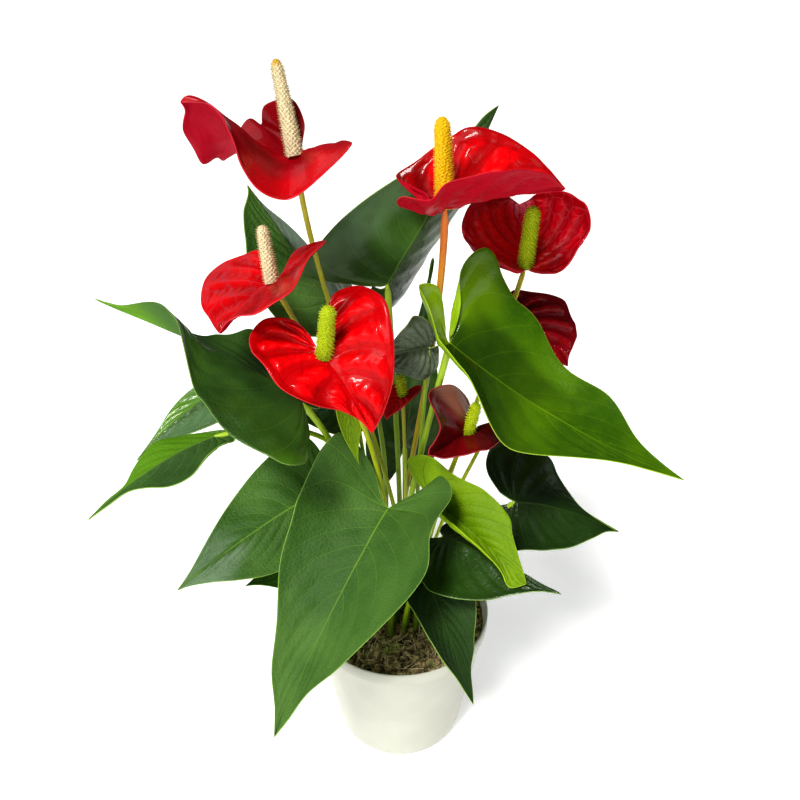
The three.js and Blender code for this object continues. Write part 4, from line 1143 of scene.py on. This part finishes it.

# As for the leaves, with stalk for the flower stalk's radius. spadix_radius is at the spike's foot and tip.
# A ripeness under 0.9 leaves out the colour of the spike's tip.
# The patches of each spathe, in the order of TINTS, are painted light, painted sheen and painted shade
BLOOMS = [
    dict(name="upper_left", red="deep_red", spadix="cream", root=(4, -11),
         path=[(-4, -9, 200), (-31, -9, 310)], stalk=1.3, joint=(-48, -10, 414),
         via=[(-65, -13, 418), (-84, -17, 436)], tip=(-98, -22, 439), spadix_tip=(-57, -2, 454),
         spadix_radius=(3.9, 2.2), look=SMOOTH_LOOK, pale=[(-1, 0.3, 0.62, 0.55, 1.2, 0.3)],
         ashen=[(-1, -0.1, 0.1, 0.7, 1.2, 0.4), (-1, 0.35, 0.8, 0.4, 0.42, 0.2)],
         deep=[(1, -0.1, 0.5, -0.2, 1.2, 0.5), (-1, -0.1, 0.2, 0.2, 1.2, 0.4),
               (-1, 0.25, 0.7, 0.12, 0.3, 0.5)],
         left=wing([(24, -36, 5), (0, -25, -14), (-4, -27, -12), (0, -22, -8)], lobe=0.6,
                   pull=[(-1.2, -2), (0, -3.9), (0, -1), (1.9, 2), (2.6, 1.2), (0, 0), (5.8, 0),
                         (10.1, -4.1), (13.9, -4.6), (10, -1.2)]),
         right=wing([(-20, 34, 24), (-15, 32, 16), (-20, 26, -20), (-30, 30, -54)], lobe=0.5,
                    pull=[(-1.3, -1), (1, -0.8), (-1.5, 0.7), (-6.7, -8), (-5.2, -10.5), (-3, 1),
                          (-0.7, -1.8), (3.1, 2.3), (0, 0), (2, 0)])),
    dict(name="middle_left", red="red", spadix="cream", root=(-10, -5),
         path=[(-13, -9, 176), (-32, -14, 265)], stalk=1.3, joint=(-63, -20, 353), via=[(-78, -28, 343)],
         tip=(-91, -34, 330), spadix_tip=(-68, -16, 380), spadix_radius=(3.5, 2.4), ripeness=0.88,
         look=NETTED_LOOK, deep=[(-1, -0.1, 1.1, -0.2, 1.2, 0.3), (1, -0.1, 1.1, -0.2, 1.2, 0.3)],
         left=wing([(13, -28, 5)], lobe=2,
                   pull=[(-5.3, 0), (-12, 2.9), (-3.8, 7.3), (-5.8, 6.3), (0.8, 2.2), (-0.7, 0.9),
                         (-0.8, 2.2), (-1.3, 5.5), (-0.3, 5.3), (-0.3, 2)]),
         right=wing([(-31, 22, 4)],
                    pull=[(-3, -2), (-5.5, -3.5), (-4.8, 0), (0, -2), (1.5, -2.7), (0.9, -2.7), (0.7, -1.8),
                          (-1.2, -1.8), (-1.5, 0), (-1, 0)])),
    dict(name="upper_middle", red="red", spadix="yellow", root=(-4, 3), path=[(3, 5, 192), (16, 2, 288)],
         stalk=1.25, joint=(20, -8, 385), via=[(48, -14, 394)], tip=(79, -18, 399), spadix_tip=(20, 0, 428),
         spadix_radius=(4.4, 3.2), look=RIDGED_LOOK, deep=[(-1, -0.1, 0.3, -0.2, 1.2, 0.7)],
         left=wing([(-2, 32, 34), (4, 38, 28), (8, 42, 24), (10, 44, 22)], belly=4,
                   pull=[(2.5, 8.4), (3.2, 8.1), (-1, 2), (3.5, -5), (0.5, -3.5), (-0.5, 0.7), (-0.8, 1.2),
                         (1.3, 0.3), (0, 1)]),
         right=wing([(3, -34, 26), (4, -28, 23), (0, -30, 24), (-4, -32, 26)], belly=3,
                    pull=[(-1, 1.5), (-3.3, 4), (0, 5), (3.2, -2.5), (-4.5, -0.7), (-1.7, -1), (0, -1.4),
                          (0, 0.8), (2, 2.8), (0, 1)])),
    dict(name="front", red="red", spadix="green", root=(-5, -11), path=[(-6, -13, 168), (-15, -26, 250)],
         stalk=1.5, joint=(-39, -42, 323), via=[(-26, -54, 309)], tip=(-14, -62, 288),
         spadix_tip=(-34, -50, 352), spadix_radius=(3.8, 3), look=RIDGED_LOOK,
         deep=[(-1, 0, 0.3, -0.2, 0.8, 0.6)],
         left=wing([(30, 6, 24)], lobe=1.2,
                   pull=[(1, 1), (6.7, 4.4), (4.7, 2.8), (2.8, 3.6), (1.3, 2.8), (-2.2, 0), (-3.9, 0),
                         (-2.4, 0), (-0.6, 0)]),
         right=wing([(-34, -6, 2)], lobe=1.2,
                    pull=[(2, 2.4), (5.8, 3.3), (2.2, 3.1), (0, 1.9), (-1, 4), (-1.7, 3.7), (-3.9, -0.7),
                          (-2.2, -0.4), (-1.7, 3.7), (-1.1, 3.9)])),
    dict(name="right_cupped", red="deep_red", spadix="green", root=(10, 8),
         path=[(23, 8, 175), (46, 12, 262)], stalk=1.4, joint=(71, 28, 339.6), via=[(69.9, 47.8, 350.1)],
         tip=(68.9, 58.3, 366.8), spadix_tip=(71, 20.7, 377.2), spadix_radius=(4, 3.2), look=FURROWED_LOOK,
         pale=[(-1, -0.1, 0.8, -0.2, 0.8, 0.6), (1, -0.1, 0.8, -0.2, 0.35, 0.5)],
         ashen=[(1, 0.85, 1.1, 0.2, 1.2, 0.6), (-1, 0.85, 1.1, 0.2, 1.2, 0.6)],
         left=wing([(-36.5, -2.1, 33.4), (-35.5, -14.6, 27.1), (-35.5, -15.7, 31.3), (-35.5, -16.7, 35.5)],
                   belly=6,
                   pull=[(0, 0), (0, 0), (-4.5, 1.8), (-5.7, -3.6), (-3, 0), (-1.6, -1.3), (0, 0), (0, 0),
                         (1, 3), (-0.5, 1.9)]),
         right=wing([(32.4, -9.4, 27.1), (28.2, -14.6, 25.1), (28.2, -16.7, 31.3), (32.4, -18.8, 35.5)],
                    belly=6,
                    pull=[(2, 1), (5.9, 0), (1.9, 0), (-2.2, 1.1), (1.4, 2.7), (4.3, 1.3), (4.6, 1.3),
                          (1, 3.2), (-1.5, 3.8), (0.5, 1.6)])),
    dict(name="right_low", red="maroon", spadix="green", root=(17, 7), path=[(28, 10, 172), (55, 20, 236)],
         stalk=1.2, joint=(66, 35, 305), via=[(84, 28, 297)], tip=(99, 18, 282), spadix_tip=(54, 40, 326),
         spadix_radius=(3.2, 2.4), look=RIDGED_LOOK | {"quilt": 3.4},
         pale=[(-1, -0.1, 1.1, -0.2, 1.2, 0.3), (1, -0.1, 1.1, -0.2, 1.2, 0.3)],
         left=wing([(26, 18, 12), (31, 17, 8), (27, 18, 5), (22, 18, 2)], lobe=0.8,
                   pull=[(0, 0), (0, 0), (0.3, 3.6), (0, -1.4), (-3.3, -1.5), (-3.3, -2.4), (0, -3.3),
                         (4.1, 1.2), (2.4, 3.2), (0, 2.4)]),
         right=wing([(-10, -8, -18)], lobe=0.6)),
    dict(name="centre_small", red="red", spadix="green", root=(5, -1), stalk=1, joint=(2, 3, 272),
         via=[(-3, -4, 269)], tip=(-8, -12, 264), spadix_tip=(0, 3, 284), spadix_radius=(2.8, 2.2),
         ripple=(0.6, 2, 0),
         left=wing([(9, -2, 2)], lobe=1.2), right=wing([(-9, 1, 4)])),
    dict(name="right_dark", red="maroon", spadix="green", root=(11, -6), stalk=1.3, joint=(40, -10, 255),
         via=[(28, -21, 254)], tip=(16, -32, 253), spadix_tip=(43, -14, 276), spadix_radius=(3.4, 2.4),
         look=SMOOTH_LOOK, ashen=[(1, 0.15, 0.4, 0.3, 1.2, 0.5)],
         left=wing([(12, -18, -1)], lobe=1.5,
                   pull=[(-1.5, 0), (0, 1), (-0.7, -1.7), (0, 0), (-1.4, 0.4), (-1.2, 2.5), (-0.7, 2.9),
                         (0, 2.2)]),
         right=wing([(-12, -11, 33)],
                    pull=[(-2.5, 4.3), (-5.5, 6.5), (-8.4, 7), (-7.2, 4.9), (-9, 1.7), (-6.5, 0.3),
                          (0.4, -2), (4.9, -1.4), (2.9, -1.2)])),
]
SPATHE_SLOTS = {"red": "spathe_red", "deep_red": "spathe_deep_red", "maroon": "spathe_maroon"}

for number, bloom in enumerate(BLOOMS):
    name = bloom["name"]
    maker = make_blade(f"{name}_maker", bloom, "spathe", SPATHE_THICKNESS, SPATHE_ROWS, SPATHE_COLUMNS,
                       bloom.get("look", SPATHE_LOOK), 50 + number)
    maker.data.materials.append(spathe_finishes[bloom["red"]])
    finished(maker, f"bract_{name}", SPATHE_SLOTS[bloom["red"]], f"spathe_{name}")

    seat = bezier_point(bezier_through(bloom["joint"], bloom["via"], bloom["tip"]), SEAT_SHARE)
    maker = add_object(f"scape_{name}_maker", [], [])
    corners = stem_curve(bloom["root"], bloom.get("path"), seat)
    if bloom["spadix"] == "yellow":
        flare, finish, slot = 1.45, orange_scape_finish, "stalk_orange"
    else:
        flare, finish, slot = 1.0, scape_finish, "stalk_green"
    path = grow_stalk(maker, corners, bloom["stalk"], bloom["stalk"] * flare, 0.1, finish)
    finished(maker, f"scape_{name}", slot, f"stalk_{name}")
    bpy.data.objects.remove(path)

    axis = np.array(bloom["spadix_tip"], float) - seat
    length = np.linalg.norm(axis)
    foot, tip = bloom["spadix_radius"]
    maker = add_object(f"spike_{name}_maker", [], [])
    spike.run(maker, {"Length": length * MM, "Foot radius": foot * MM, "Tip radius": tip * MM,
                      "Florets": int(math.pi * (foot + tip) * length / FLORET_AREA),
                      "Floret size": FLORET_SIZE * MM, "Ripeness": bloom.get("ripeness", 1.0),
                      "Place": Vector(seat) * MM, "Turn": Vector(axis).to_track_quat("Z", "Y").to_euler(),
                      "Material": spadix_finishes[bloom["spadix"]]})
    finished(maker, f"spike_{name}", f"spadix_{bloom['spadix']}", f"spadix_{name}")
